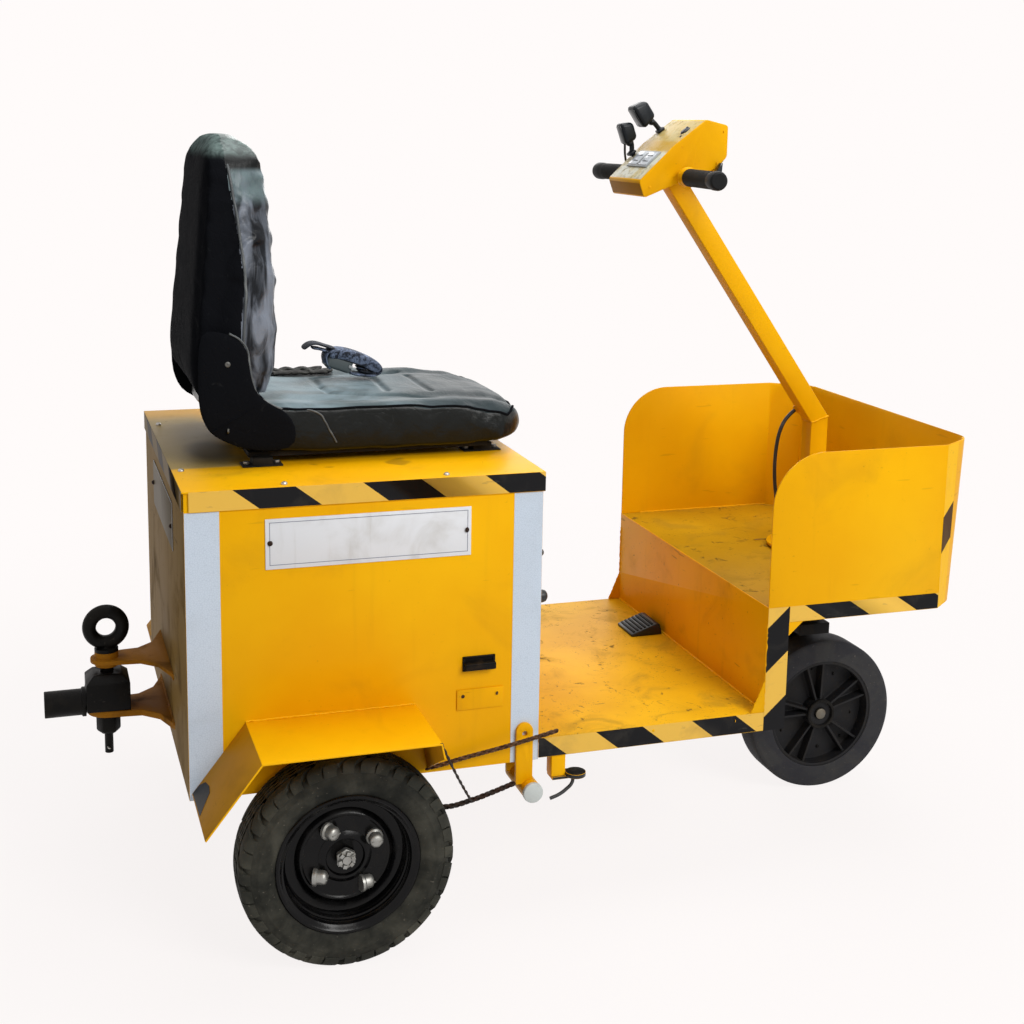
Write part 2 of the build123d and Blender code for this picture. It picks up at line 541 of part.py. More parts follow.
COUPLER_LOW, COUPLER_HIGH = HITCH_LOWER_Z + 1.0, 414.0
STUB_R, STUB_Z, STUB_END_X = 25.0, 364.0, -906.0
body = block(HITCH_X - 40, HITCH_X + 40, -40, 40, COUPLER_LOW, COUPLER_HIGH)
body = chamfer(body.faces().sort_by(Axis.Z)[-1].edges(), 14)
body += rod_x(0, STUB_Z, STUB_R, STUB_END_X, HITCH_X - 47)
body += rod_x(0, STUB_Z, STUB_R + 3, HITCH_X - 48, HITCH_X - 39)
body -= rod_z(HITCH_X, 0, PIN_R + STEM_GAP, COUPLER_LOW - 1, COUPLER_HIGH + 1)
save("coupler_block", body)

# ---- seat: feet and pan, padded cushion and back, side wings, belt ----------------------
FEET = [(-522.0, 195.0), (-104.0, 160.0)]       # x, |y|
base = block(-545, -100, -195, 195, SEAT_LOW - 10, SEAT_LOW - 0.5)
for x, y in FEET:
    for side in (-1, 1):
        base += block(x - 18, x + 18, side * y - 18, side * y + 18, LID_TOP, SEAT_LOW - 8)
save("seat_base", base)

cushion_side = Polyline((-500, SEAT_LOW), (-100, SEAT_LOW), (-14, 869), (0, 880), (0, 910), (-16, 932),
                        (-56, 943), (-140, SEAT_TOP), (-606, SEAT_TOP), (-606, 905), (-560, 878), close=True)
cushion = extrude(make_face(Plane.XZ * cushion_side), SEAT_HALF, both=True)
plan_edges = [
    Line((-640, -SEAT_HALF), (-95, -SEAT_HALF)),
    ThreePointArc((-95, -SEAT_HALF), (-38, -185), (-9, -120)),
    ThreePointArc((-9, -120), (0, 0), (-9, 120)),
    ThreePointArc((-9, 120), (-38, 185), (-95, SEAT_HALF)),
    Line((-95, SEAT_HALF), (-640, SEAT_HALF)),
    Line((-640, SEAT_HALF), (-640, -SEAT_HALF)),
]
plan = Pos(0, 0, SEAT_LOW - 5) * extrude(make_face(plan_edges), 200)
save("seat_cushion", cushion & plan)

back_side = Polyline((-640, 972), (-640, 1010), (-622, 1168), (-606, 1372), (-600, 1406), (-582, 1425),
                     (-552, 1425), (-526, 1402), (-514, 1350), (-502, 1226), (-494, 1115), (-498, 1040),
                     (-508, 972), close=True)
back = extrude(make_face(Plane.XZ * back_side), SEAT_HALF, both=True)
front_view = Plane.YZ * Polyline((-216, 960), (216, 960), (216, 1120), (205, 1240), (182, 1370), (130, 1430),
                                 (-130, 1430), (-182, 1370), (-205, 1240), (-216, 1120), close=True)
front_block = Pos(-700, 0, 0) * extrude(make_face(front_view), 300)
back &= front_block
save("seat_backrest", back)

wing = side_plate([(-636, 960), (-632, 1092), (-580, 1084), (-556, 1066), (-546, 1030), (-536, 984), (-507, 956),
                   (-470, 930), (-462, 900), (-470, 872), (-529, 873), (-568, 882), (-595, 895),
                   (-619, 910), (-630, 937)], SEAT_HALF + 1, SEAT_HALF + 7)
save("seat_wings", both_sides(wing))

buckle = fillet(Box(130, 56, 32).edges(), 6)
belt = Pos(-316, 60, SEAT_TOP + 37) * Rot(0, 19, 0) * buckle
belt += block(-450, -330, 150, 185, SEAT_TOP + 0.5, SEAT_TOP + 14)
save("seat_belt", belt)

# ---- plates and small pieces on the box --------------------------------------------------
SIGN_T = 2.0
signs = block(-544, -182, -BODY_HALF - SIGN_T, -BODY_HALF, 699, 787)
signs += block(BOX_REAR - SIGN_T, BOX_REAR, -181, 181, 690, 778)
save("sign_plates", signs)
handle = block(-195, -134, -BODY_HALF - 3, -BODY_HALF, 483, 511)
handle += block(-193, -136, -BODY_HALF - 16, -BODY_HALF - 3, 496, 501)
save("side_handle", handle)
save("cover_plate", block(-205, -118, -BODY_HALF - 2.5, -BODY_HALF, 411, 449))
save("box_knobs", rod_x(-350, 606, 11, BOX_FRONT, BOX_FRONT + 16) + rod_x(-350, 688, 6, BOX_FRONT, BOX_FRONT + 8))

# ---- stop tube, hanging stub, chains and wire beside the right rear wheel ----------------
STOP_X, STOP_Z, STOP_R = -66.0, 248.0, 18.0
bar_x = -77.0
hanger = block(bar_x - 16, bar_x + 16, -BODY_HALF - PLATE, -BODY_HALF, 258, 359)
hanger += rod_y(bar_x, 359, 16, -BODY_HALF - PLATE, -BODY_HALF)
hanger += block(bar_x - 12, bar_x + 28, -308, -300, 256, RAIL_LOW + 20)
hanger -= rod_y(STOP_X, STOP_Z, STOP_R, -400, -280)
hanger -= rod_y(bar_x, 355, 5, -400, -360)
save("stop_bracket", hanger)
stop = rod_y(STOP_X, STOP_Z, STOP_R, -392, -285) + rod_y(STOP_X, STOP_Z, STOP_R + 0.5, -398, -391)
save("stop_tube", stop)

stub = block(-21, 6, -BODY_HALF, -340, 262, STEP_TOP - SHEET)
stub += block(-20, 34, -BODY_HALF - 4, -340, 256, 262)
stub += rod_z(25, -BODY_HALF - 4, 19, 261, 269)
save("foot_stub", stub)

LINK_R = 4.5
CHAINS = [                          # x, y, z along each chain
    [(-268, -377, 303), (-184, -386, 327), (-115, -387, 350), (-30, -386, 347)],
    [(-250, -330, 296), (-222, -360, 244), (-196, -387, 238), (-150, -387, 241), (-104, -380, 264)],
    [(-39, -396, 224), (-16, -385, 236), (0, -377, 251)],
]


def stick(start, end, r):
    run = Vector(*end) - Vector(*start)
    return Plane(origin=start, z_dir=run.normalized()) * Cylinder(r, run.length, align=UP)


chains = []
for points in CHAINS:
    chain = Sphere(LINK_R).moved(Pos(*points[0]))
    for start, end in zip(points, points[1:]):
        chain += stick(start, end, LINK_R) + Pos(*end) * Sphere(LINK_R)
    chains.append(chain)
save("chains", Compound(chains))
save("tie_wire", stick((-272, -528, 390), (-203, -396, 243), 1.5))

# ---- accelerator pedal -------------------------------------------------------------------
pedal = side_plate([(332, STEP_TOP), (404, STEP_TOP), (404, STEP_TOP + 6), (398, STEP_TOP + 24),
                    (390, STEP_TOP + 26), (332, STEP_TOP + 6)], 100, 182)
save("accelerator_pedal", pedal)
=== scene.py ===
"""Dressing of a three-wheeled electric baggage tug: paint, tapes, tyres, seat, chains and small trim.
Metres, +X forward, +Y left, +Z up, the origin on the floor under the middle of the vehicle."""
import json
import math
import random

import bmesh
import bpy
from mathutils import Matrix, Vector, noise
from mathutils.bvhtree import BVHTree


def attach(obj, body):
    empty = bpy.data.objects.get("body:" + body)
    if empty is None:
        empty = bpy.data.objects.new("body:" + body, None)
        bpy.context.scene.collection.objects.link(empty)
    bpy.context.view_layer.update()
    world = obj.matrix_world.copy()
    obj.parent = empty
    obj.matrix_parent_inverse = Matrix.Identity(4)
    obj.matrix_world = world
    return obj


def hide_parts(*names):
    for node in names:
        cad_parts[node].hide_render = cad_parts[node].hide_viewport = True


MM = 0.001
SCENE = bpy.context.scene
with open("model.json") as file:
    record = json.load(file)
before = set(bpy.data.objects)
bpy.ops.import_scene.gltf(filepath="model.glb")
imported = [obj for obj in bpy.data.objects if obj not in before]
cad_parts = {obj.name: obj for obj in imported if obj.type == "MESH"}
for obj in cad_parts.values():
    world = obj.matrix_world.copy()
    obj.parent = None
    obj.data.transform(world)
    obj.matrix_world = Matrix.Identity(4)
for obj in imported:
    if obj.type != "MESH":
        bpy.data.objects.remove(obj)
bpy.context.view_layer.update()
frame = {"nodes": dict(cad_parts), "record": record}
NODES = frame["nodes"]
BODY_OF = {node: body for body, nodes in frame["record"]["behaviour"]["bodies"].items() for node in nodes}
SIDES = ((-1, "right"), (1, "left"))
# The lid's top, and how far out from the middle the box's skin and the lower body stand, in millimetres.
BOX_TOP, BOX_SKIN, BODY_HALF_WIDTH = 842.0, 367.0, 370.0


def linked(name, data):
    """An object of the data, in the scene."""
    made = bpy.data.objects.new(name, data)
    SCENE.collection.objects.link(made)
    return made


def evaluated(holder):
    """The plain mesh that an object's modifiers or its curve make."""
    return bpy.data.meshes.new_from_object(holder.evaluated_get(bpy.context.evaluated_depsgraph_get()))


# ---- camera ---------------------------------------------------------------------------
def set_camera():
    """A standing person's view of the vehicle's right side, its front to the right."""
    place = Vector((-0.9257, -2.8252, 1.4442))
    yaw, pitch, roll = 0.3203, -0.1746, 0.0169
    ahead = Vector((math.sin(yaw) * math.cos(pitch), math.cos(yaw) * math.cos(pitch), math.sin(pitch)))
    level = Vector((math.cos(yaw), -math.sin(yaw), 0.0))
    above = level.cross(ahead)
    right = level * math.cos(roll) + above * math.sin(roll)
    up = above * math.cos(roll) - level * math.sin(roll)
    data = bpy.data.cameras.new("camera")
    data.lens, data.sensor_width, data.shift_y = 52.94, 36.0, -0.1172
    SCENE.camera = linked("camera", data)
    SCENE.camera.matrix_world = Matrix((right, up, -ahead)).transposed().to_4x4()
    SCENE.camera.location = place


set_camera()
SCENE.view_settings.view_transform = "Standard"


# ---- node graphs: finishes and repeating pieces ------------------------------------------
def operator(operation, swapped=False):
    """The method behind one of Python's operators; it adds a Math node."""
    def method(self, other):
        return self.maths(operation, *((other, self) if swapped else (self, other)))
    return method


class Value:
    """One output of a node; Python's operators on it add Math nodes."""

    def __init__(self, graph, socket):
        self.graph, self.socket = graph, socket

    def maths(self, operation, first, second):
        return self.graph.node("ShaderNodeMath", {"operation": operation}, {0: first, 1: second})

    __add__, __radd__ = operator("ADD"), operator("ADD", swapped=True)
    __sub__, __rsub__ = operator("SUBTRACT"), operator("SUBTRACT", swapped=True)
    __mul__, __rmul__ = operator("MULTIPLY"), operator("MULTIPLY", swapped=True)
    __truediv__ = operator("DIVIDE")


class Graph:
    """A node tree that is filled by one method."""

    def __init__(self, tree):
        self.tree = tree

    def node(self, kind, settings=None, sockets=None, out=0):
        made = self.tree.nodes.new(kind)
        for name, value in (settings or {}).items():
            setattr(made, name, value)
        for name, value in (sockets or {}).items():
            self.join(made.inputs[name], value)
        return Value(self, made.outputs[out])

    def join(self, socket, value):
        if isinstance(value, Value):
            self.tree.links.new(value.socket, socket)
        else:
            socket.default_value = value


class Finish(Graph):
    """A material on the principled shader, patterned over the object's own space."""

    def __init__(self, name, roughness=0.5, metallic=0.0, **plain):
        self.material = bpy.data.materials.new(name)
        self.material.use_nodes = True
        super().__init__(self.material.node_tree)
        self.shader = self.tree.nodes["Principled BSDF"]
        self.place = self.node("ShaderNodeTexCoord", out="Object")
        self.feed("Roughness", roughness)
        self.feed("Metallic", metallic)
        for socket, value in plain.items():
            self.feed(socket.replace("_", " "), value)

    def feed(self, socket, value):
        self.join(self.shader.inputs[socket], value)

    def moved(self, stretch, turn=(0.0, 0.0, 0.0)):
        return self.node("ShaderNodeMapping", {}, {"Vector": self.place, "Scale": stretch, "Rotation": turn})

    def grain(self, scale, detail=3.0, stretch=None, turn=(0.0, 0.0, 0.0), rough=0.55, warp=0.0):
        place = self.moved(stretch, turn) if stretch else self.place
        return self.node("ShaderNodeTexNoise", {}, {
            "Vector": place, "Scale": scale, "Detail": detail, "Roughness": rough, "Distortion": warp})

    def cells(self, scale, feature="F1", stretch=None):
        place = self.moved(stretch) if stretch else self.place
        return self.node("ShaderNodeTexVoronoi", {"feature": feature}, {"Vector": place, "Scale": scale},
                         "Distance")

    def span(self, value, low, high):
        return self.node("ShaderNodeMapRange", {"interpolation_type": "SMOOTHSTEP"},
                         {"Value": value, "From Min": low, "From Max": high})

    def mix(self, share, first, second):
        return self.node("ShaderNodeMix", {"data_type": "RGBA"}, {0: share, 6: first, 7: second}, 2)

    def facing(self, axis):
        """How much the surface faces along one axis of the object, from -1 to 1."""
        normal = self.node("ShaderNodeNewGeometry", out="Normal")
        return self.node("ShaderNodeSeparateXYZ", {}, {"Vector": normal}, axis)

    def height(self, axis):
        return self.node("ShaderNodeSeparateXYZ", {}, {"Vector": self.place}, axis)

    def patches(self, low, high, *size, **how):
        """Soft-edged patches of grain, none under low and whole over high."""
        return self.span(self.grain(*size, **how), low, high)

    def coated(self, coat, roughness=None, *layers):
        """The material, given its colour, its roughness and its bumps."""
        self.feed("Base Color", coat)
        if roughness is not None:
            self.feed("Roughness", roughness)
        if layers:
            self.relief(*layers)
        return self.material

    def relief(self, *layers):
        """Bumps one over another, each a height and its depth in millimetres."""
        normal = None
        for value, depth in layers:
            sockets = {"Height": value, "Distance": depth * MM, "Strength": 1.0}
            if normal:
                sockets["Normal"] = normal
            normal = self.node("ShaderNodeBump", {}, sockets)
        self.feed("Normal", normal)


def tone(red, green, blue):
    """A linear colour from the usual 0 to 255 values."""
    shares = [value / 255 for value in (red, green, blue)]
    return tuple(s / 12.92 if s <= 0.04045 else ((s + 0.055) / 1.055) ** 2.4 for s in shares) + (1.0,)


YELLOW, YELLOW_DEEP = tone(236, 176, 6), tone(228, 163, 2)
GRIME, SOOT = tone(74, 56, 32), tone(30, 26, 22)
RUST, RUST_DARK = tone(96, 54, 28), tone(52, 34, 24)


def paint(name, grime, scuffs, colour=YELLOW, gloss=0.36, rear_dirt=0.0):
    """Sprayed yellow paint with orange peel, grime in blotches and runs, and scratches down to primer."""
    f = Finish(name, Specular_IOR_Level=0.07, Coat_Weight=0.02, Coat_Roughness=0.12)
    broad = f.patches(0.34, 0.7, 2.6, 4.0)
    coat = f.mix(broad, YELLOW_DEEP if colour is YELLOW else colour, colour)
    cloud = f.patches(0.5, 0.78, 7.0, 7.0, warp=0.6)
    runs = f.patches(0.56, 0.82, 34.0, 4.0, stretch=(1.0, 1.0, 0.07))
    film = (cloud * 0.75 + runs * 0.45) * grime
    coat = f.mix(film, coat, GRIME)
    if rear_dirt:
        forth, over = f.height("X"), f.height("Y")
        drift = f.grain(9.0, 5.0, warp=0.4) * 0.08 - 0.04
        settled = f.span(forth * -1.0 + drift, 0.5, 0.6) * f.span(over + drift * 0.4, -0.204, -0.186)
        settled = settled * (1.0 - f.span(over + drift, 0.24, 0.34) * 0.6)
        coat = f.mix(settled * rear_dirt, coat, tone(132, 120, 78))
        near_foot = (forth + 0.598) * (forth + 0.598) * 4.0 + (over + 0.05) * (over + 0.05)
        coat = f.mix(f.span(near_foot * -1.0 + drift * 0.06, -0.011, -0.002) * 0.75, coat, tone(74, 60, 34))
    specks = f.patches(0.66, 0.74, 150.0, 3.0) * f.patches(0.45, 0.62, 8.0, 3.0)
    hair = f.patches(0.7, 0.735, 70.0, 2.0, stretch=(0.12, 0.12, 1.0), turn=(0.5, 0.9, 0.3))
    marks = specks * 0.8 + hair * 0.45
    coat = f.mix(marks * scuffs, coat, SOOT)
    return f.coated(coat, gloss + film * 0.35 + marks * 0.2 * scuffs + f.grain(22.0, 3.0) * 0.08,
                    (f.grain(330.0, 2.0), 0.06), (marks * -1.0, 0.12 * scuffs))


def trodden_paint(name, shade):
    """Floor paint, walked on: dark scuffs, worn patches and grit."""
    f = Finish(name, Specular_IOR_Level=0.08)
    broad = f.patches(0.35, 0.68, 3.4, 5.0)
    coat = f.mix(broad, tone(214 * shade, 158 * shade, 12), tone(232 * shade, 176 * shade, 18))
    smear = f.patches(0.49, 0.7, 9.0, 8.0, rough=0.68, warp=0.8)
    coat = f.mix(smear * 0.62, coat, tone(160, 122, 30))
    dark = f.patches(0.585, 0.66, 26.0, 9.0, rough=0.72, warp=1.2)
    coat = f.mix(dark * 0.8, coat, tone(70, 54, 34))
    grit = f.patches(0.62, 0.7, 210.0, 3.0, rough=0.7) * f.patches(0.42, 0.6, 11.0, 4.0)
    coat = f.mix(grit * 0.85, coat, tone(48, 38, 28))
    return f.coated(coat, 0.5 + dark * 0.25 + smear * 0.1,
                    (f.grain(300.0, 2.0), 0.08), (dark * -1.0 + grit * -0.7, 0.25))


def black_steel(name, colour, gloss, grease=0.0, dirt=1.0, shine=0.2):
    """Black painted or greasy steel with dusty patches and small worn spots."""
    f = Finish(name, Specular_IOR_Level=shine)
    patches = f.patches(0.42, 0.68, 24.0, 6.0, warp=0.5)
    coat = f.mix(patches * dirt, colour, tone(36, 33, 29))
    worn = f.patches(0.62, 0.72, 110.0, 5.0, rough=0.7)
    coat = f.mix(worn * 0.5 * dirt, coat, tone(92, 84, 76))
    return f.coated(coat, gloss + patches * 0.22 - worn * 0.1 + f.grain(60.0, 3.0) * 0.1 - grease * 0.12,
                    (f.grain(46.0, 6.0, rough=0.6), 0.35), (f.grain(240.0, 3.0), 0.08))


def rubber(name, colour, dusty, mottled=tone(44, 44, 39)):
    """Tyre rubber: fine mottle, dust that settles in blotches, light scuffs."""
    f = Finish(name, Specular_IOR_Level=0.12)
    mottle = f.patches(0.35, 0.7, 30.0, 7.0, rough=0.65)
    coat = f.mix(mottle, colour, mottled)
    film = f.patches(0.4, 0.72, 11.0, 7.0, warp=0.7) * dusty
    coat = f.mix(film, coat, tone(92, 90, 80))
    fleck = f.patches(0.66, 0.73, 190.0, 3.0)
    coat = f.mix(fleck * 0.35, coat, tone(126, 120, 108))
    return f.coated(coat, 0.72 + film * 0.15 - mottle * 0.08,
                    (f.grain(120.0, 5.0), 0.22), (f.grain(600.0, 2.0), 0.05))


def vinyl(name, colour, wear_and_sheen_colour, worn, shine=0.01, gloss=0.38, crease_depth=0.22, marks=None):
    """Black upholstery vinyl: pebbled grain, creases, and a grey wear with painted sheen on its upward and forward
    faces.
    """
    f = Finish(name, Specular_IOR_Level=shine)
    pebble = f.cells(420.0)
    crease = f.cells(46.0, "DISTANCE_TO_EDGE", stretch=(1.0, 1.5, 0.8))
    folds = f.grain(13.0, 4.0, stretch=(1.0, 0.45, 1.0), warp=1.4)
    upward = f.span(f.facing("Z"), 0.35, 0.95)
    facing = f.span(f.facing("X"), 0.3, 0.9)
    # Paler on faces that look up and forward: partly wear, partly painted sheen.
    wear_and_sheen = f.patches(0.36, 0.66, 9.0, 6.0, warp=0.7) * (upward + facing) * worn
    coat = f.mix(wear_and_sheen, colour, wear_and_sheen_colour)
    if marks:
        coat = marks(f, coat)
    # Faint pale patches: partly rubbed vinyl, partly painted highlight.
    rubbed = f.patches(0.6, 0.72, 34.0, 7.0, rough=0.7, warp=0.9)
    coat = f.mix(rubbed * 0.05, coat, tone(120, 124, 124))
    return f.coated(coat, gloss + wear_and_sheen * 0.12 + f.grain(40.0, 4.0) * 0.12,
                    (folds, 2.6), (f.span(crease, 0.0, 0.09), crease_depth), (pebble, 0.09))


def seat_wear_and_sheen(f, coat):
    """The cushion top is palest towards its rear, where the driver sits, from wear and painted sheen, and stays dark
    round its nose.
    """
    return f.mix(f.span(f.height("X"), -0.36, -0.12) * 0.88, coat, tone(34, 40, 42))


def pale_crown(f, coat):
    """A paler, mottled crown on the backrest's upward faces, above 1.378 m."""
    mottle, upward = f.patches(0.34, 0.62, 60.0, 6.0, warp=0.8), f.span(f.facing("Z"), 0.05, 0.7)
    return f.mix(f.span(f.height("Z"), 1.378, 1.398) * upward * (0.4 + mottle * 0.5), coat, tone(104, 120, 117))


def headrest_marks_and_light(f, coat):
    """Pale streaks down the front as painted highlights, a paler grey-green patch, a painted shadow band along the seam
    over it, and the pale crown.
    """
    up, mottle = f.height("Z"), f.patches(0.34, 0.62, 60.0, 6.0, warp=0.8)
    # Long pale streaks down the front: painted highlights.
    highlight_streak = f.patches(0.38, 0.62, 34.0, 6.0, stretch=(1.0, 1.0, 0.16), warp=0.9)
    coat = f.mix(highlight_streak * 0.85, coat, tone(124, 131, 143))
    coat = f.mix(f.span(up, 1.296, 1.325) * (0.6 + mottle * 0.3), coat, tone(92, 108, 110))
    # A near-black band along the head seam: painted shadow.
    coat = f.mix(f.span(up, 1.356, 1.368), coat, tone(8, 11, 12))
    return pale_crown(f, coat)


def tape(name, colour, scuffed, shine=0.3):
    """Sticky vinyl tape: slight ripples, dirty scuffs."""
    f = Finish(name, roughness=0.38, Specular_IOR_Level=shine)
    film = f.patches(0.5, 0.76, 18.0, 6.0, warp=0.5)
    coat = f.mix(film * 0.45, colour, scuffed)
    nicks = f.patches(0.66, 0.72, 90.0, 4.0, stretch=(0.3, 1.0, 1.0))
    coat = f.mix(nicks * 0.5, coat, scuffed)
    return f.coated(coat, None, (f.grain(28.0, 2.0), 0.18))


def reflective_tape():
    """Retroreflective sheeting with its fine cells."""
    f = Finish("tape_reflective", Specular_IOR_Level=0.3)
    cell = f.cells(260.0, "DISTANCE_TO_EDGE")
    grid = f.span(cell, 0.02, 0.12)
    film = f.patches(0.46, 0.78, 6.0, 6.0, warp=0.6)
    coat = f.mix(grid * 0.5 + 0.5, tone(170, 184, 200), tone(196, 208, 222))
    return f.coated(f.mix(film * 0.25, coat, tone(150, 154, 156)), 0.38 + film * 0.2)


def bright_steel(name, colour, gloss, rusty=0.2):
    """Plated or bare steel, dulled, with rust in spots."""
    f = Finish(name, metallic=0.85)
    dull = f.patches(0.4, 0.7, 60.0, 6.0)
    coat = f.mix(dull * 0.5, colour, tone(120, 118, 112))
    coat = f.mix(f.patches(0.56, 0.7, 90.0, 6.0) * rusty, coat, RUST)
    return f.coated(coat, gloss + dull * 0.2, (f.grain(200.0, 3.0), 0.05))


def rusty_steel(name, dark, rust):
    """Small old steel pieces: brown rust over dark metal."""
    f = Finish(name, metallic=0.3, Specular_IOR_Level=0.2)
    patch = f.patches(0.38, 0.66, 70.0, 7.0, rough=0.65)
    coat = f.mix(patch, dark, RUST_DARK)
    coat = f.mix(f.patches(0.52, 0.68, 160.0, 5.0), coat, rust)
    return f.coated(coat, 0.55 + patch * 0.3, (f.grain(260.0, 4.0), 0.18))


def moulded(name, colour, gloss, second=None, grain=300.0, shine=0.4):
    """Moulded plastic or rubber with a fine spark-eroded grain."""
    f = Finish(name, Specular_IOR_Level=shine)
    worn = f.patches(0.5, 0.74, 32.0, 6.0)
    return f.coated(f.mix(worn * 0.6, colour, second or tone(74, 74, 72)), gloss + worn * 0.15,
                    (f.grain(grain, 3.0), 0.07))


def sign_sheet(name, clean, dusty, shine=0.2):
    """A sign sheet, handled and dusty, with rain marks."""
    f = Finish(name, roughness=0.4, Specular_IOR_Level=shine)
    film = f.patches(0.46, 0.76, 12.0, 6.0, warp=0.6)
    runs = f.patches(0.58, 0.8, 60.0, 3.0, stretch=(1.0, 1.0, 0.1))
    coat = f.mix(film * 0.35 + runs * 0.25, clean, dusty)
    return f.coated(coat, None, (f.grain(160.0, 2.0), 0.03))


def webbing(name, colour, dark):
    """Woven belt webbing: fine cross ribs, dirt along it."""
    f = Finish(name, roughness=0.8, Specular_IOR_Level=0.3)
    weave = f.cells(900.0, stretch=(1.0, 0.5, 1.0))
    rows = f.grain(420.0, 2.0, stretch=(1.0, 0.08, 0.3))
    dirt = f.patches(0.42, 0.58, 70.0, 8.0, rough=0.7, warp=0.9)
    coat = f.mix(dirt, colour, dark)
    coat = f.mix(f.span(rows, 0.45, 0.6) * 0.35, coat, dark)
    return f.coated(coat, None, (weave, 0.25), (rows, 0.35))


def worn_panel(name, paint_left, bare, dirty):
    """The driver's face of the console: paint rubbed to a pale, dirty cream."""
    f = Finish(name)
    rub = f.patches(0.36, 0.6, 30.0, 8.0, rough=0.7, warp=0.8)
    coat = f.mix(rub, paint_left, bare)
    dirt = f.patches(0.52, 0.64, 75.0, 7.0, rough=0.72, warp=0.7)
    coat = f.mix(dirt * dirty, coat, tone(104, 92, 64))
    # A deeper yellow band along the fold between the two slopes: bare paint and painted shade.
    along_slope = f.height("X") + f.grain(40.0, 3.0) * 0.008
    band = f.span(along_slope, 0.298, 0.306) * f.span(along_slope * -1.0, -0.33, -0.322)
    coat = f.mix(band * 0.9, coat, tone(186, 144, 16))
    return f.coated(coat, 0.48 + dirt * 0.25, (dirt * -1.0, 0.12), (f.grain(300.0, 2.0), 0.06))


PAINT = paint("paint_yellow", 0.16, 0.3)
PAINT_DULL = paint("paint_dull", 0.42, 0.8)
# Dark brown for the box's rear panel: grime and painted shade.
PAINT_REAR = paint("paint_grimy", 1.1, 1.0, tone(128, 100, 48), gloss=0.6)
PAINT_LID = paint("paint_lid", 0.3, 0.9, rear_dirt=0.86)
# Darker paint for the fenders' rear-facing faces: grime and painted shade.
PAINT_FLAP_SHADED = paint("paint_flap", 0.5, 0.6, tone(186, 130, 14), gloss=0.5)
PAINT_FLOOR, PAINT_DECK = trodden_paint("paint_step", 0.97), trodden_paint("paint_deck", 0.84)
PANEL_WORN = worn_panel("panel_worn", tone(196, 178, 122), tone(204, 204, 188), 0.6)
RIM_BLACK = black_steel("rim_black", tone(4, 4, 5), 0.12, dirt=0.15, shine=0.16)
RIM_FRONT = black_steel("front_rim_black", tone(26, 26, 28), 0.4, dirt=0.5, shine=0.16)
HITCH_BLACK = black_steel("hitch_black", tone(9, 8, 7), 0.42, grease=0.4, dirt=0.4, shine=0.1)
CARRIER_BLACK = black_steel("carrier_black", tone(18, 17, 16), 0.5, shine=0.1)
TYRE = rubber("tyre_rubber", tone(24, 25, 22), 0.42)
# Lighter tread rubber: dust, and painted light for tread that lies in the fender's shade.
TREAD = rubber("tread_rubber", tone(40, 41, 36), 0.6)
TYRE_FRONT = rubber("tyre_front_rubber", tone(46, 46, 50), 0.2, tone(50, 50, 53))
VINYL = vinyl("vinyl_black", tone(17, 18, 21), tone(44, 48, 50), 0.08, 0.0015, 0.5, marks=pale_crown)
VINYL_SIDE = vinyl("vinyl_cushion_side", tone(17, 20, 20), tone(80, 92, 92), 0.6, 0.16, 0.24, 0.1)
# The cushion top's pale tone is worn vinyl and painted sheen.
VINYL_TOP = vinyl("vinyl_seat_top", tone(80, 92, 95), tone(124, 140, 146), 0.9, 0.02, 0.3, 0.1, seat_wear_and_sheen)
VINYL_FRONT = vinyl("vinyl_back_front", tone(16, 19, 24), tone(70, 78, 88), 0.4, 0.16, 0.24, 0.04, headrest_marks_and_light)
PIPING = moulded("piping_grey", tone(70, 74, 76), 0.45, tone(128, 132, 132))
TAPE_BLACK = tape("tape_black", tone(20, 20, 22), tone(60, 57, 52), shine=0.12)
TAPE_PALE = tape("tape_pale", tone(224, 178, 70), tone(176, 138, 66))
TAPE_BRIGHT = tape("tape_bright", tone(238, 182, 20), tone(206, 154, 34), shine=0.04)
TAPE_FADED = tape("tape_faded", tone(76, 52, 26), tone(96, 68, 32), shine=0.02)
TAPE_GRIMY = tape("tape_grimy", tone(118, 98, 62), tone(78, 62, 42), shine=0.01)
TAPE_GRIMY_BLACK = tape("tape_grimy_black", tone(46, 38, 32), tone(96, 78, 52), shine=0.01)
TAPE_WHITE = reflective_tape()
SIGN = sign_sheet("sign_white", tone(216, 218, 222), tone(158, 152, 140))
SIGN_GRIMY = sign_sheet("sign_grimy", tone(96, 84, 62), tone(52, 42, 28), 0.02)
STEEL = bright_steel("steel_zinc", tone(176, 174, 168), 0.32)
STEEL_NUT = bright_steel("steel_nut", tone(140, 138, 132), 0.4, 0.35)
CHAIN = rusty_steel("chain_rusty", tone(40, 38, 36), tone(52, 40, 30))
CHAIN_BROWN = rusty_steel("chain_brown", tone(86, 62, 42), tone(104, 66, 40))
PLASTIC = moulded("plastic_black", tone(24, 26, 28), 0.38)
PULL = moulded("side_pull", tone(14, 12, 10), 0.5, tone(58, 44, 30), shine=0.1)
GRIP = moulded("grip_rubber", tone(20, 20, 19), 0.6, tone(48, 45, 40), 220.0, 0.15)
CABLE = moulded("cable_sheath", tone(24, 22, 20), 0.45)
BATTERY = moulded("battery_case", tone(38, 42, 48), 0.45)
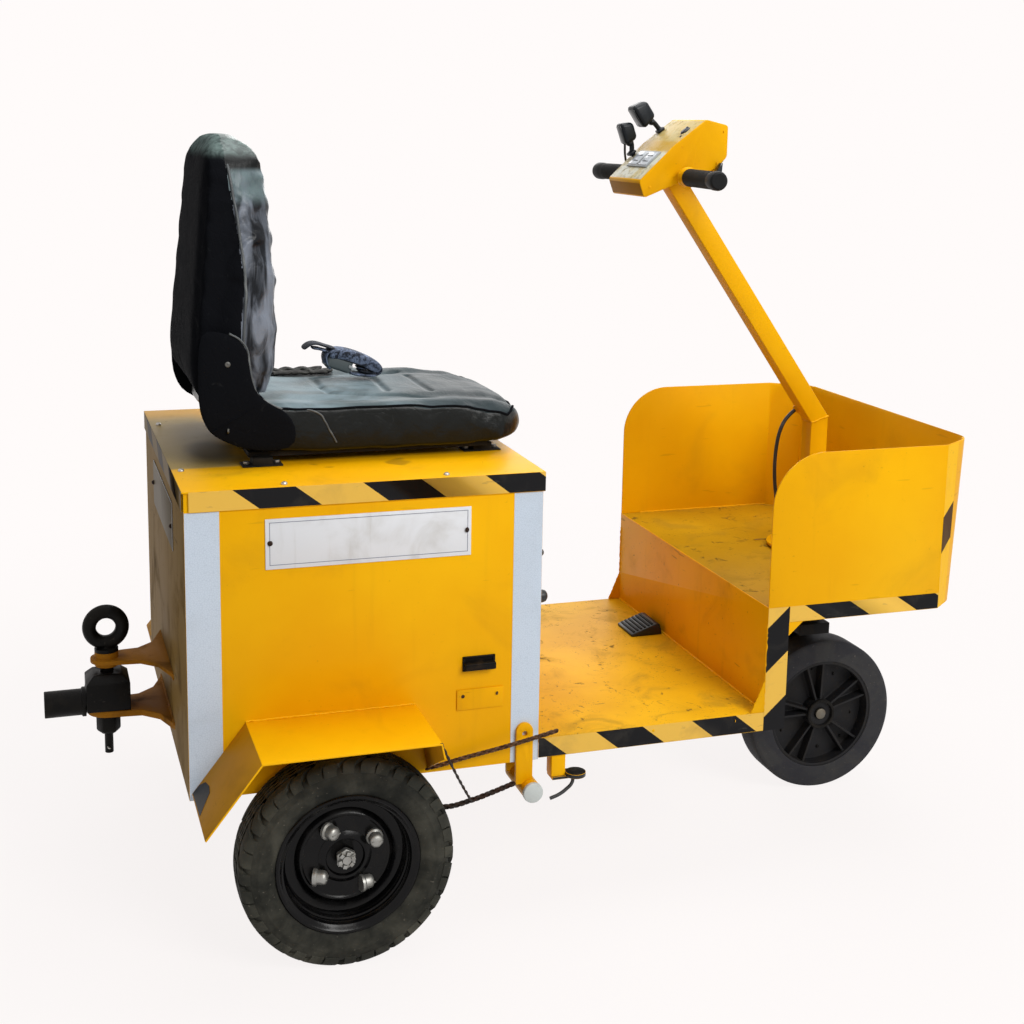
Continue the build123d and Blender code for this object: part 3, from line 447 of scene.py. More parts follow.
# Darker brown for the console's rear-facing end wall: dirt and painted shade.
PAINT_END = paint("paint_console_end", 1.0, 0.8, tone(164, 116, 26), gloss=0.5)
PAINT_HITCH = paint("paint_hitch", 1.3, 1.2, tone(168, 110, 22), gloss=0.55)
PANEL_TAN = worn_panel("panel_tan", tone(192, 162, 84), tone(186, 166, 104), 0.35)
NUT_GREY = bright_steel("nut_grey", tone(150, 150, 146), 0.42, 0.12)
RIVET = bright_steel("rivet_dark", tone(84, 84, 82), 0.45, 0.3)
METER_DARK = moulded("meter_frame", tone(38, 40, 44), 0.4, tone(70, 74, 82))
METER_GREY = moulded("meter_grey", tone(150, 154, 156), 0.4, tone(110, 116, 120), 120.0)
METER_PALE = moulded("meter_label", tone(200, 205, 210), 0.2, tone(140, 150, 158), 120.0)
GRIP_END = moulded("grip_end", tone(12, 13, 14), 0.5, tone(34, 36, 38), shine=0.15)
LAMP_BLACK = moulded("lamp_housing", tone(14, 19, 24), 0.34, tone(30, 37, 42), shine=0.2)
LENS = moulded("lamp_lens", tone(30, 36, 40), 0.12, tone(60, 68, 72), 60.0)
WEBBING = webbing("webbing_grey", tone(112, 125, 150), tone(28, 32, 42))
WEBBING_DIRTY = webbing("webbing_dirty", tone(58, 58, 54), tone(14, 14, 14))
# The same webbing, darker; on the roll's inner turn it is painted shade.
WEBBING_DARK = webbing("webbing_dark", tone(44, 48, 58), tone(16, 18, 22))
BUCKLE = moulded("buckle_grey", tone(78, 86, 88), 0.4, tone(112, 118, 118), 120.0)
SIGN_LINE = moulded("sign_line", tone(120, 124, 140), 0.5)
AXLE_END = bright_steel("axle_end", tone(104, 98, 86), 0.5, 0.3)
CAP_PALE = moulded("cap_pale", tone(186, 192, 190), 0.45, tone(150, 150, 140))


# ---- studio ---------------------------------------------------------------------------
def lamp(name, place, aim, size, power, colour=(1.0, 1.0, 1.0)):
    data = bpy.data.lights.new(name, "AREA")
    data.shape, data.size, data.energy, data.color = "SQUARE", size, power, colour
    made = linked(name, data)
    made.location = place
    made.rotation_euler = (Vector(aim) - Vector(place)).to_track_quat("-Z", "Y").to_euler()


def seen_directly(graph):
    """1 on rays from the camera and on those that mirrors and glass send on."""
    rays = graph.tree.nodes.new("ShaderNodeLightPath")
    camera, glossy, through = (Value(graph, rays.outputs[name]) for name in (
        "Is Camera Ray", "Is Glossy Ray", "Is Transmission Ray"))
    return camera + glossy + through


def set_studio():
    """Three soft lamps and a pale floor that keeps the vehicle's shadow."""
    lamp("key_light", (2.8, -6.4, 5.4), (0.0, 0.0, 0.5), 3.8, 510.0, (1.0, 0.99, 0.97))
    lamp("top_light", (0.4, 0.1, 3.7), (0.0, 0.0, 0.6), 2.6, 80.0)
    lamp("left_fill", (1.4, 3.8, 2.2), (0.0, 0.0, 0.5), 2.4, 45.0)
    world = bpy.data.worlds.new("studio")
    SCENE.world = world
    world.use_nodes = True
    air = Graph(world.node_tree)
    backdrop = tone(255, 251, 250)
    room = air.node("ShaderNodeMix", {"data_type": "RGBA"}, {0: seen_directly(air), 6: (0.2, 0.2, 0.205, 1.0),
                                                           7: backdrop}, 2)
    air.join(world.node_tree.nodes["Background"].inputs["Color"], room)
    floor_mesh = bpy.data.meshes.new("floor")
    reach = 30.0
    floor_mesh.from_pydata([(-reach, -reach, 0), (reach, -reach, 0), (reach, reach, 0), (-reach, reach, 0)], [],
                           [(0, 1, 2, 3)])
    linked("floor", floor_mesh)
    f = Finish("floor_pale", roughness=0.9, Specular_IOR_Level=0.0)
    f.feed("Base Color", tone(232, 230, 229))
    glow = f.node("ShaderNodeEmission", {}, {"Color": backdrop, "Strength": 1.0})
    far = f.node("ShaderNodeVectorMath", {"operation": "LENGTH"}, {0: f.place}, "Value")
    shown = f.node("ShaderNodeMixShader", {}, {
        0: seen_directly(f) * (0.9 + f.span(far, 0.9, 2.8) * 0.1), 1: Value(f, f.shader.outputs[0]), 2: glow})
    f.join(f.tree.nodes["Material Output"].inputs["Surface"], shown)
    floor_mesh.materials.append(f.material)


set_studio()


# ---- making pieces --------------------------------------------------------------------
def finished(name, shape, finishes, body, slot, replaces=(), smooth=32.0):
    """A finished piece at the origin, riding on its body, from a mesh or a shape still being edited."""
    mesh = to_mesh(name, shape) if isinstance(shape, bmesh.types.BMesh) else shape
    for finish in finishes if isinstance(finishes, (list, tuple)) else [finishes]:
        mesh.materials.append(finish)
    mesh.shade_smooth()
    mesh.set_sharp_from_angle(angle=math.radians(smooth))
    made = linked(name, mesh)
    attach(made, body)
    if replaces:
        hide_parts(*replaces)
    return made


def to_mesh(name, bm, tidy=True):
    if tidy:
        bmesh.ops.remove_doubles(bm, verts=bm.verts, dist=1e-6)
        bmesh.ops.recalc_face_normals(bm, faces=bm.faces)
    mesh = bpy.data.meshes.new(name)
    bm.to_mesh(mesh)
    bm.free()
    return mesh


def round_edges(bm, width, angle=30.0, segments=2, across=False):
    sharp = [e for e in bm.edges if e.is_manifold and e.calc_face_angle(0.0) > math.radians(angle)]
    if across:
        sharp = [e for e in sharp if abs((e.verts[1].co - e.verts[0].co).normalized().y) > 0.98]
    bmesh.ops.bevel(bm, geom=sharp, offset=width, offset_type="OFFSET", segments=segments, profile=0.5,
                    affect="EDGES", clamp_overlap=False)


def dress(node, finishes, slot, edge=0.7, choose=None, name=None, fold=0.0):
    """A copy of a plain node with its sharp edges rounded, its folds across the vehicle more so."""
    bm = bmesh.new()
    bm.from_mesh(NODES[node].data)
    bmesh.ops.remove_doubles(bm, verts=bm.verts, dist=2e-6)
    bmesh.ops.dissolve_limit(bm, angle_limit=math.radians(0.3), verts=bm.verts, edges=bm.edges)
    for face in bm.faces:
        face.material_index = choose(face) if choose else 0
    if fold:
        round_edges(bm, fold * MM, 20.0, 3, across=True)
    if edge:
        round_edges(bm, edge * MM)
    finished(name or f"{node}_sheet", bm, finishes, BODY_OF[node], slot, (node,))


# ---- repeating pieces -------------------------------------------------------------------
class Pattern(Graph):
    """A Geometry Nodes tree with named inputs, for pieces that repeat."""

    def __init__(self, name, **inputs):
        super().__init__(bpy.data.node_groups.new(name, "GeometryNodeTree"))
        sockets = self.tree.interface
        sockets.new_socket("Geometry", in_out="INPUT", socket_type="NodeSocketGeometry")
        for label, kind in inputs.items():
            sockets.new_socket(label, in_out="INPUT", socket_type=f"NodeSocket{kind}")
        sockets.new_socket("Geometry", in_out="OUTPUT", socket_type="NodeSocketGeometry")
        self.source = self.tree.nodes.new("NodeGroupInput")

    def given(self, label):
        return Value(self, self.source.outputs[label])

    def piece(self):
        return self.node("GeometryNodeObjectInfo", {}, {"Object": self.given("Piece")}, "Geometry")

    def close(self, instances):
        solid = self.node("GeometryNodeRealizeInstances", {}, {0: instances})
        coated = self.node("GeometryNodeSetMaterial", {}, {"Geometry": solid, "Material": self.given("Finish")})
        end = self.tree.nodes.new("NodeGroupOutput")
        self.tree.links.new(coated.socket, end.inputs["Geometry"])


def ring_pattern():
    """Copies of a piece turned about a wheel's axle."""
    p = Pattern("around_the_axle", Piece="Object", Count="Int", First="Float", Place="Vector", Finish="Material")
    spots = p.node("GeometryNodePoints", {}, {"Count": p.given("Count")})
    index = p.node("GeometryNodeInputIndex")
    angle = index * (2.0 * math.pi) / p.given("Count") + p.given("First")
    turn = p.node("ShaderNodeCombineXYZ", {}, {"Y": angle})
    copies = p.node("GeometryNodeInstanceOnPoints", {}, {"Points": spots, "Instance": p.piece(), "Rotation": turn})
    moved = p.node("GeometryNodeTransform", {}, {"Geometry": copies, "Translation": p.given("Place")})
    p.close(moved)
    return p


def spot_pattern():
    """Copies of a piece on the points of a mesh, turned as the points' own turn says."""
    p = Pattern("on_spots", Piece="Object", Size="Float", Finish="Material")
    turn = p.node("GeometryNodeInputNamedAttribute", {"data_type": "FLOAT_VECTOR"}, {"Name": "turn"})
    copies = p.node("GeometryNodeInstanceOnPoints", {}, {
        "Points": p.given("Geometry"), "Instance": p.piece(), "Rotation": turn, "Scale": p.given("Size")})
    p.close(copies)
    return p


def link_pattern():
    """Links along a line, every second one turned a quarter."""
    p = Pattern("chain_links", Piece="Object", Pitch="Float", Finish="Material")
    line = p.node("GeometryNodeMeshToCurve", {}, {"Mesh": p.given("Geometry")})
    even = p.node("GeometryNodeResampleCurve", {"mode": "LENGTH"}, {"Curve": line, "Length": p.given("Pitch")})
    tangent = p.node("GeometryNodeInputTangent")
    aligned = p.node("FunctionNodeAlignRotationToVector", {"axis": "X"}, {"Vector": tangent})
    index = p.node("GeometryNodeInputIndex")
    odd = p.node("ShaderNodeMath", {"operation": "MODULO"}, {0: index, 1: 2.0})
    roll = p.node("ShaderNodeCombineXYZ", {}, {"X": odd * (math.pi / 2.0) + 0.35})
    turned = p.node("FunctionNodeRotateRotation", {"rotation_space": "LOCAL"}, {"Rotation": aligned,
                                                                              "Rotate By": roll})
    copies = p.node("GeometryNodeInstanceOnPoints", {}, {"Points": even, "Instance": p.piece(), "Rotation": turned})
    p.close(copies)
    return p


RING, SPOTS, LINKS = ring_pattern(), spot_pattern(), link_pattern()


def grown(pattern, piece_mesh, holder_mesh, **values):
    """The plain mesh that a pattern makes of one piece."""
    piece = linked("pattern_piece", piece_mesh)
    holder = linked("pattern_holder", holder_mesh or bpy.data.meshes.new("empty"))
    modifier = holder.modifiers.new("pattern", "NODES")
    modifier.node_group = pattern.tree
    values["Piece"] = piece
    for item in pattern.tree.interface.items_tree:
        if item.in_out == "INPUT" and item.name in values:
            modifier[item.identifier] = values[item.name]
    bpy.context.view_layer.update()
    made = evaluated(holder)
    for part in (holder, piece):
        bpy.data.objects.remove(part)
    return made


def grown_piece(name, pattern, piece_mesh, holder_mesh, finish, body, slot, replaces=(), smooth=32.0, **values):
    mesh = grown(pattern, piece_mesh, holder_mesh, Finish=finish, **values)
    mesh.name = name
    mesh.materials.clear()
    return finished(name, mesh, finish, body, slot, replaces, smooth)


def bridge(bm, rings, closed=True):
    """Faces between rows of corners. Where a row is one corner repeated, they meet in a point."""
    for low, high in zip(rings, rings[1:]):
        for i in range(len(low) if closed else len(low) - 1):
            j = (i + 1) % len(low)
            corners = list(dict.fromkeys((low[i], low[j], high[j], high[i])))
            if len(corners) > 2:
                bm.faces.new(corners)


def lathe(profile, place, steps=96):
    """A ring turned about the Y axis from a closed or open section of (radius, y) in millimetres."""
    bm = bmesh.new()
    rings = []
    for radius, y in profile:
        if radius < 0.01:
            rings.append([bm.verts.new(Vector((0.0, y, 0.0)) * MM)] * steps)
            continue
        rings.append([bm.verts.new(Vector((radius * math.sin(2 * math.pi * i / steps), y,
                                           radius * math.cos(2 * math.pi * i / steps))) * MM) for i in range(steps)])
    bridge(bm, rings)
    bmesh.ops.translate(bm, verts=bm.verts, vec=Vector(place) * MM)
    return bm


def spun(profile, steps=48):
    """A lathe piece modelled towards +Z."""
    bm = lathe(profile, (0, 0, 0), steps)
    bmesh.ops.rotate(bm, matrix=Matrix.Rotation(math.pi / 2, 3, "X"), verts=bm.verts)
    return bm


def block(low, high, edge=0.0, segments=2):
    """A block between two corners in millimetres, with rounded edges."""
    bm = bmesh.new()
    bmesh.ops.create_cube(bm, size=1.0)
    size, middle = Vector(high) - Vector(low), (Vector(high) + Vector(low)) / 2
    for vertex in bm.verts:
        vertex.co = Vector((vertex.co.x * size.x, vertex.co.y * size.y, vertex.co.z * size.z)) * MM + middle * MM
    if edge:
        round_edges(bm, edge * MM, segments=segments)
    return bm


def joined(name, parts, turn=None):
    """Several shapes as one mesh, turned by a matrix where one is given."""
    whole = bmesh.new()
    for part in parts:
        single = to_mesh("part", part)
        whole.from_mesh(single)
        bpy.data.meshes.remove(single)
    if turn:
        bmesh.ops.transform(whole, matrix=turn, verts=whole.verts)
    return to_mesh(name, whole, tidy=False)


def aimed(place, outward):
    """A matrix that takes a piece modelled towards +Z to a place in millimetres, facing outward."""
    turn = Vector(outward).to_track_quat("Z", "Y").to_matrix().to_4x4()
    return Matrix.Translation(Vector(place) * MM) @ turn


# ---- screws and rivets ----------------------------------------------------------------------
def screw_head(radius=4.0, high=2.2):
    """A domed head with a cross slot, seen from +Z."""
    bm = bmesh.new()
    rows = [(radius, 0.0), (radius, high * 0.35), (radius * 0.86, high * 0.75), (radius * 0.5, high),
            (0.0, high * 1.05)]
    rings = [[bm.verts.new(Vector((r * math.cos(a * math.pi / 8), r * math.sin(a * math.pi / 8), z)) * MM)
              for a in range(16)] if r else [bm.verts.new(Vector((0, 0, z * MM)))] * 16 for r, z in rows]
    bridge(bm, rings)
    arm, half = radius * 0.55, radius * 0.12
    for flip in (False, True):
        low = (-arm, -half, high * 0.6) if not flip else (-half, -arm, high * 0.6)
        bar = block(low, (-low[0], -low[1], high * 1.12))
        single = bpy.data.meshes.new("slot")
        bar.to_mesh(single)
        bar.free()
        bm.from_mesh(single)
    return to_mesh("screw", bm, tidy=False)


def drum(sides, foot, head, low, high):
    """A plain cylinder or prism along Z: radii at its foot and head, and the heights of both ends."""
    bm = bmesh.new()
    bmesh.ops.create_cone(bm, cap_ends=True, segments=sides, radius1=foot * MM, radius2=head * MM,
                          depth=(high - low) * MM, matrix=Matrix.Translation((0, 0, (low + high) / 2 * MM)))
    return bm


def hex_bolt(radius, high):
    """A hexagon head on a washer, seen from +Z."""
    washer = 1.3
    head = drum(6, radius, radius, washer, washer + high)
    round_edges(head, 0.5 * MM)
    return joined("bolt", [head, drum(20, radius * 1.35, radius * 1.35, 0.0, washer)])


def spots(rows):
    """A mesh of points (x, y, z in millimetres) with the way that each one faces."""
    mesh = bpy.data.meshes.new("spots")
    mesh.from_pydata([Vector(place) * MM for place, facing in rows], [], [])
    turns = mesh.attributes.new("turn", "FLOAT_VECTOR", "POINT")
    for number, (place, facing) in enumerate(rows):
        euler = Vector(facing).to_track_quat("Z", "Y").to_euler()
        turns.data[number].vector = (euler.x, euler.y, euler.z + 0.6 * number)
    return mesh


def screws(name, rows, finish, piece, body="root"):
    grown_piece(name, SPOTS, piece, spots(rows), finish, body, "black_steel", Size=1.0)


# ---- plain nodes: their finish and rounded edges ---------------------------------------------
#    node, finish, slot, width of the rounded edges in millimetres
DRESSED = [
    ("chassis_frame", CARRIER_BLACK, "frame", 0.8),
    ("drive_motor", CARRIER_BLACK, "axle", 0.8),
    ("battery_block", BATTERY, "battery", 3.0),
    ("box_floor", PAINT_DULL, "body", 0.0),
    ("box_side_right", PAINT, "body", 0.5),
    ("box_side_left", PAINT, "body", 0.5),
    ("box_rear_panel", PAINT_REAR, "body", 0.5),
    ("box_front_panel", PAINT_DULL, "body", 0.5),
    ("box_lid", PAINT_LID, "body", 1.0),
    ("footboard", PAINT_FLOOR, "body", 0.7),
    ("riser_panel", PAINT_DULL, "body", 0.7),
    ("steering_head", CARRIER_BLACK, "frame", 0.8),
    ("seat_base", CARRIER_BLACK, "black_steel", 0.8),
    ("stop_bracket", PAINT_DULL, "body", 0.6),
    ("cover_plate", PAINT_DULL, "body", 0.5),
    ("steering_column", PAINT, "body", 1.6),
    ("front_fork", CARRIER_BLACK, "black_steel", 1.0),
    ("handlebar", STEEL, "black_steel", 0.0),
    ("coupler_block", HITCH_BLACK, "black_steel", 1.6),
]
for node, finish, slot, edge in DRESSED:
    dress(node, finish, slot, edge)


TRAY_FOLD, NOSE_HALF, BEND = 785.0, 318.0, 36.0


def nose_at(z):
    """How far forward the tray's raked front stands at a height."""
    return 851.0 + 17.0 * (z - 517.0) / 331.0


def bend_corners(bm):
    """Turns the sharp folds at the tray's nose into wide bends."""
    def fold_at(z, side):
        nose = Vector((nose_at(z), side * NOSE_HALF, 0.0))
        return nose, (nose - Vector((TRAY_FOLD, side * BODY_HALF_WIDTH, 0.0))).normalized()

    for side in (-1, 1):
        nose, slanting = fold_at(682.0, side)
        for step in range(-6, 7):
            reach = step * BEND / 6
            run = slanting if step < 0 else Vector((0, -side, 0))
            faces = [f for f in bm.faces if f.calc_center_median().x > 0.79 and f.calc_center_median().y * side > -0.1]
            region = list(dict.fromkeys(part for f in faces for part in [f, *f.edges, *f.verts]))
            bmesh.ops.bisect_plane(bm, geom=region, plane_co=(nose + run * reach) * MM, plane_no=run, dist=1e-6)
    for vertex in bm.verts:
        place = vertex.co / MM
        side = -1 if place.y < 0 else 1
        nose, slanting = fold_at(place.z, side)
        across = Vector((0, -side, 0))
        flat = Vector((place.x, place.y, 0.0))
        on_nose = abs(place.y) <= NOSE_HALF
        reach = NOSE_HALF - abs(place.y) if on_nose else (flat - nose).dot(slanting)
        if place.x < 790.0 or abs(reach) >= BEND:
            continue
        share = (reach + BEND) / (2 * BEND)
        start, end = nose - slanting * BEND, nose + across * BEND
        curve = start * (1 - share) ** 2 + nose * 2 * share * (1 - share) + end * share ** 2
        vertex.co += (curve - nose - (across if reach > 0 else slanting) * reach) * MM


def make_tray():
    """The tray's three walls as one folded sheet, and the deck inside them."""
    bm, nodes = bmesh.new(), ("tray_side_right", "tray_front", "tray_side_left")
    for node in nodes:
        bm.from_mesh(NODES[node].data)
    bmesh.ops.remove_doubles(bm, verts=bm.verts, dist=4e-6)
    seam = [f for f in bm.faces if abs(f.normal.y) > 0.99 and f.calc_center_median().x > 0.8
            and abs(abs(f.calc_center_median().y) - NOSE_HALF * MM) < 0.2 * MM]
    bmesh.ops.delete(bm, geom=seam, context="FACES")
    bend_corners(bm)
    round_edges(bm, 0.7 * MM, 45.0)
    finished("tray_sheet", bm, PAINT, "root", "body", nodes)
    bm = bmesh.new()
    bm.from_mesh(NODES["load_deck"].data)
    bmesh.ops.remove_doubles(bm, verts=bm.verts, dist=2e-6)
    bmesh.ops.dissolve_limit(bm, angle_limit=math.radians(0.3), verts=bm.verts, edges=bm.edges)
    corners = [e for e in bm.edges if e.verts[0].co.x > 0.84 and e.verts[1].co.x > 0.84 and e.calc_length() < 0.01]
    bmesh.ops.bevel(bm, geom=corners, offset=BEND * MM, offset_type="OFFSET", segments=8, profile=0.5, affect="EDGES",
                    clamp_overlap=False)
    finished("load_deck_sheet", bm, PAINT_DECK, "root", "body", ("load_deck",))


make_tray()
for side, name in SIDES:
    # Faces that look rearward take the darker flap paint: painted shade with grime.
    dress(f"fender_{name}", [PAINT, PAINT_FLAP_SHADED], "body", 0.6, lambda face: int(face.normal.x < -0.5))


# ---- seat -------------------------------------------------------------------------------
def skin(name, counts, place):
    """A closed grid over six sides of a block; place(u, v, s) maps -1..1 along, across and up to millimetres."""
    bm = bmesh.new()
    for axis in range(3):
        first, second = [i for i in range(3) if i != axis]
        for end in (-1.0, 1.0):
            rows = []
            for i in range(counts[first] + 1):
                row = []
                for j in range(counts[second] + 1):
                    spot = [0.0, 0.0, 0.0]
                    spot[axis] = end
                    spot[first] = 2.0 * i / counts[first] - 1.0
                    spot[second] = 2.0 * j / counts[second] - 1.0
                    row.append(bm.verts.new(Vector(place(*spot)) * MM))
                rows.append(row)
            bridge(bm, rows, closed=False)
    bmesh.ops.remove_doubles(bm, verts=bm.verts, dist=0.05 * MM)
    bmesh.ops.recalc_face_normals(bm, faces=bm.faces)
    return to_mesh(name, bm, tidy=False)


def along(table, key):
    """The smooth value at key of a short table of (key, value, ...) rows in rising order."""
    for low, high in zip(table, table[1:]):
        if key <= high[0]:
            share = max(0.0, (key - low[0]) / (high[0] - low[0]))
            share = share * share * (3.0 - 2.0 * share)
            return [a + (b - a) * share for a, b in zip(low[1:], high[1:])]
    return list(table[-1][1:])


CLOTH_FRAMES, CLOTH_PRESSURE, CLOTH_GRID = 20, 4.0, 6.0
MOST_PUFF = 6.0                     # no point of the cloth moves further


def subdivided(made, levels):
    smooth = made.modifiers.new("smooth", "SUBSURF")
    smooth.levels = smooth.render_levels = levels
    return made


def puffed(name, mesh):
    """The mesh blown up a little as sewn cloth over foam."""
    made = linked(name, mesh)
    remesh = made.modifiers.new("even", "REMESH")
    remesh.mode, remesh.voxel_size = "VOXEL", CLOTH_GRID * MM
    even = evaluated(made)
    made.modifiers.clear()
    made.data = even
    rest = [v.co.copy() for v in even.vertices]
    cloth = made.modifiers.new("cloth", "CLOTH")
    cloth.settings.use_pressure = True
    cloth.settings.uniform_pressure_force = CLOTH_PRESSURE
    cloth.settings.effector_weights.gravity = 0.0
    cloth.settings.quality = 5
    cloth.point_cache.frame_end = CLOTH_FRAMES
    for number in range(1, CLOTH_FRAMES + 1):
        SCENE.frame_set(number)
    blown = evaluated(made)
    for vertex, start in zip(blown.vertices, rest):
        step = vertex.co - start
        if step.length > MOST_PUFF * MM:
            vertex.co = start + step * (MOST_PUFF * MM / step.length)
    made.modifiers.clear()
    made.data = blown
    SCENE.frame_set(1)
    final = evaluated(subdivided(made, 1))
    bpy.data.objects.remove(made)
    return final


def near_line(point, line):
    """The shortest distance from a point to a line of points, all in metres."""
    best = 1.0
    for start, end in zip(line, line[1:]):
        run = end - start
        share = max(0.0, min(1.0, (point - start).dot(run) / run.length_squared))
        best = min(best, (point - (start + run * share)).length)
    return best


def sewn(mesh, lines, deep, wide, push=None):
    """Pull the surface in along its seams, and in free folds where push(point) says so, in millimetres."""
    mesh.update()
    reach = 3.0 * wide * MM
    moves = []
    for vertex in mesh.vertices:
        depth = push(vertex.co) if push else 0.0
        for line in lines:
            gap = near_line(vertex.co, line)
            if gap < reach:
                depth += deep * math.exp(-(gap / (wide * MM)) ** 2)
        moves.append(vertex.normal * (-depth * MM))
    for vertex, move in zip(mesh.vertices, moves):
        vertex.co += move
    mesh.update()


def points(rows):
    return [Vector(row) * MM for row in rows]


SEAT_HALF = 225.0
NOSE_ROOM = 95.0                    # how far the cushion's plan rounds off at the front

#                x      edge z  crown z  underside z
CUSHION_ROWS = [
    (-606.0, 948.0, 950.0, 905.0),
    (-560.0, 950.0, 952.0, 878.0),
    (-500.0, 949.0, 948.0, 870.0),
    (-398.0, 944.0, 942.0, 866.0),
    (-278.0, 944.0, 941.0, 864.0),
    (-165.0, 940.0, 941.0, 866.0),
    (-87.0, 926.0, 936.0, 870.0),
    (-48.0, 914.0, 929.0, 872.0),
    (0.0, 896.0, 900.0, 876.0),
]


def cushion_front(y):
    share = min(1.0, abs(y) / SEAT_HALF)
    return -NOSE_ROOM + NOSE_ROOM * math.sqrt(max(0.0, 1.0 - share ** 2.6))


def cushion_point(u, v, s):
    y = v * (SEAT_HALF - 4.0)
    rear, front = -602.0, cushion_front(y) - 4.0
    x = rear + (front - rear) * (u + 1.0) / 2.0
    edge, crown, low = along(CUSHION_ROWS, x)
    inward = 1.0 - abs(v) ** 6
    high = edge + (crown - edge) * inward - 5.0 * math.exp(-(abs(v) - 0.62) ** 2 / 0.012)
    z = low + (high - low) * (s + 1.0) / 2.0
    belly = 1.0 - s * s
    y += 4.0 * belly * v ** 15
    x += 6.0 * belly * max(0.0, u) ** 15
    return x, y, z


CUSHION_PIPING = [
    (-500, 950), (-422, 949), (-326, 949), (-230, 947), (-165, 943), (-120, 936), (-87, 928), (-60, 921),
]
CUSHION_SEAMS = [
    points([(-381, -11, 949), (-377, -86, 949), (-330, -104, 949), (-248, -120, 949), (-191, -150, 946)]),
    points([(-381, -11, 949), (-377, 86, 949), (-330, 104, 949), (-248, 120, 949), (-191, 150, 946)]),
    points([(-258, 75, 949), (-262, 0, 950), (-265, -77, 949)]),
    points([(-184, 90, 949), (-186, 0, 951), (-183, -90, 949)]),
]


def cushion_folds(co):
    """Creases on the side panels and round the nose."""
    side = max(0.0, min(1.0, (abs(co.y) - 0.19) / 0.03)) + max(0.0, min(1.0, (co.x + 0.07) / 0.05))
    wave = noise.noise(Vector((co.x * 22.0 + co.z * 14.0, co.y * 6.0, co.z * 9.0)))
    fine = noise.noise(Vector((co.x * 60.0 - co.z * 30.0, co.y * 20.0, co.z * 30.0)))
    return side * (1.8 * max(0.0, wave) + 0.8 * fine) + 0.5 * wave


def two_tone(mesh, limit):
    """Faces that look up take the second finish."""
    for face in mesh.polygons:
        face.material_index = 1 if face.normal.z > limit else 0


def laid_on(mesh, path, lift, parts=4):
    """A path in metres, divided and moved onto the nearest place on a mesh, lift millimetres proud of it."""
    tree = BVHTree.FromPolygons([v.co for v in mesh.vertices], [f.vertices for f in mesh.polygons])
    stops = [start.lerp(end, i / parts) for start, end in zip(path, path[1:]) for i in range(parts)] + [path[-1]]
    placed = []
    for stop in stops:
        place, normal = tree.find_nearest(stop)[:2]
        placed.append(place + normal * (lift * MM))
    return placed


def curve_mesh(name, path, steps, radius=0.0):
    """A smooth line through points in metres as a mesh: bare edges, or a tube of a radius in millimetres."""
    data = bpy.data.curves.new(name, "CURVE")
    data.dimensions, data.resolution_u = "3D", steps
    if radius:
        data.bevel_depth, data.bevel_resolution, data.use_fill_caps = radius * MM, 2, True
    line = data.splines.new("BEZIER")
    line.bezier_points.add(len(path) - 1)
    for point, place in zip(line.bezier_points, path):
        point.co = place
        point.handle_left_type = point.handle_right_type = "AUTO"
    holder = linked(name, data)
    mesh = evaluated(holder)
    bpy.data.objects.remove(holder)
    mesh.materials.clear()
    return mesh


def tube(name, path, radius, finish, body, slot, replaces=()):
    """A tube along points in metres, smooth between them."""
    return finished(name, curve_mesh(name, path, 6, radius), finish, body, slot, replaces, smooth=60.0)


def make_cushion():
    mesh = puffed("cushion_foam", skin("cushion_form", (60, 40, 10), cushion_point))
    side_seams = [points([(-443, y, 953), (-417, y, 932), (-391, y, 880)]) for y in (-SEAT_HALF, SEAT_HALF)]
    sewn(mesh, CUSHION_SEAMS, 4.5, 7.0, cushion_folds)
    sewn(mesh, side_seams, 2.5, 6.0)
    # The upward faces take the paler top vinyl: wear and painted sheen.
    two_tone(mesh, 0.55)
    cushion = finished("seat_cushion_pad", mesh, [VINYL_SIDE, VINYL_TOP], "root", "vinyl", ("seat_cushion",), 80.0)
    rim = [(x, -SEAT_HALF + 6.0, z) for x, z in CUSHION_PIPING]
    nose = [(cushion_front(y) - 14.0, y, 924.0) for y in (-185.0, -130.0, -60.0, 60.0, 130.0, 185.0)]
    other = [(x, SEAT_HALF - 6.0, z) for x, z in reversed(CUSHION_PIPING)]
    tube("cushion_piping", laid_on(mesh, points(rim + nose + other), 0.6), 2.4, VINYL, "root", "vinyl")
    for seam, side in zip(side_seams, ("right", "left")):
        tube(f"side_seam_piping_{side}", laid_on(mesh, seam, 0.8, 6), 1.7, PIPING, "root", "vinyl")


#             z      rear x   piping x  crest x   half width
BACK_ROWS = [
    (965.0, -634.0, -566.0, -505.0, 214.0),
    (1020.0, -638.0, -558.0, -496.0, 217.0),
    (1090.0, -633.0, -555.0, -490.0, 217.0),
    (1168.0, -626.0, -549.0, -487.0, 213.0),
    (1236.0, -619.0, -555.0, -492.0, 207.0),
    (1300.0, -613.0, -563.0, -497.0, 198.0),
    (1350.0, -608.0, -570.0, -503.0, 188.0),
    (1388.0, -605.0, -574.0, -506.0, 178.0),
    (1408.0, -600.0, -574.0, -512.0, 166.0),
    (1431.0, -588.0, -570.0, -528.0, 142.0),
]
BACK_LOW, BACK_HIGH = 966.0, 1429.0


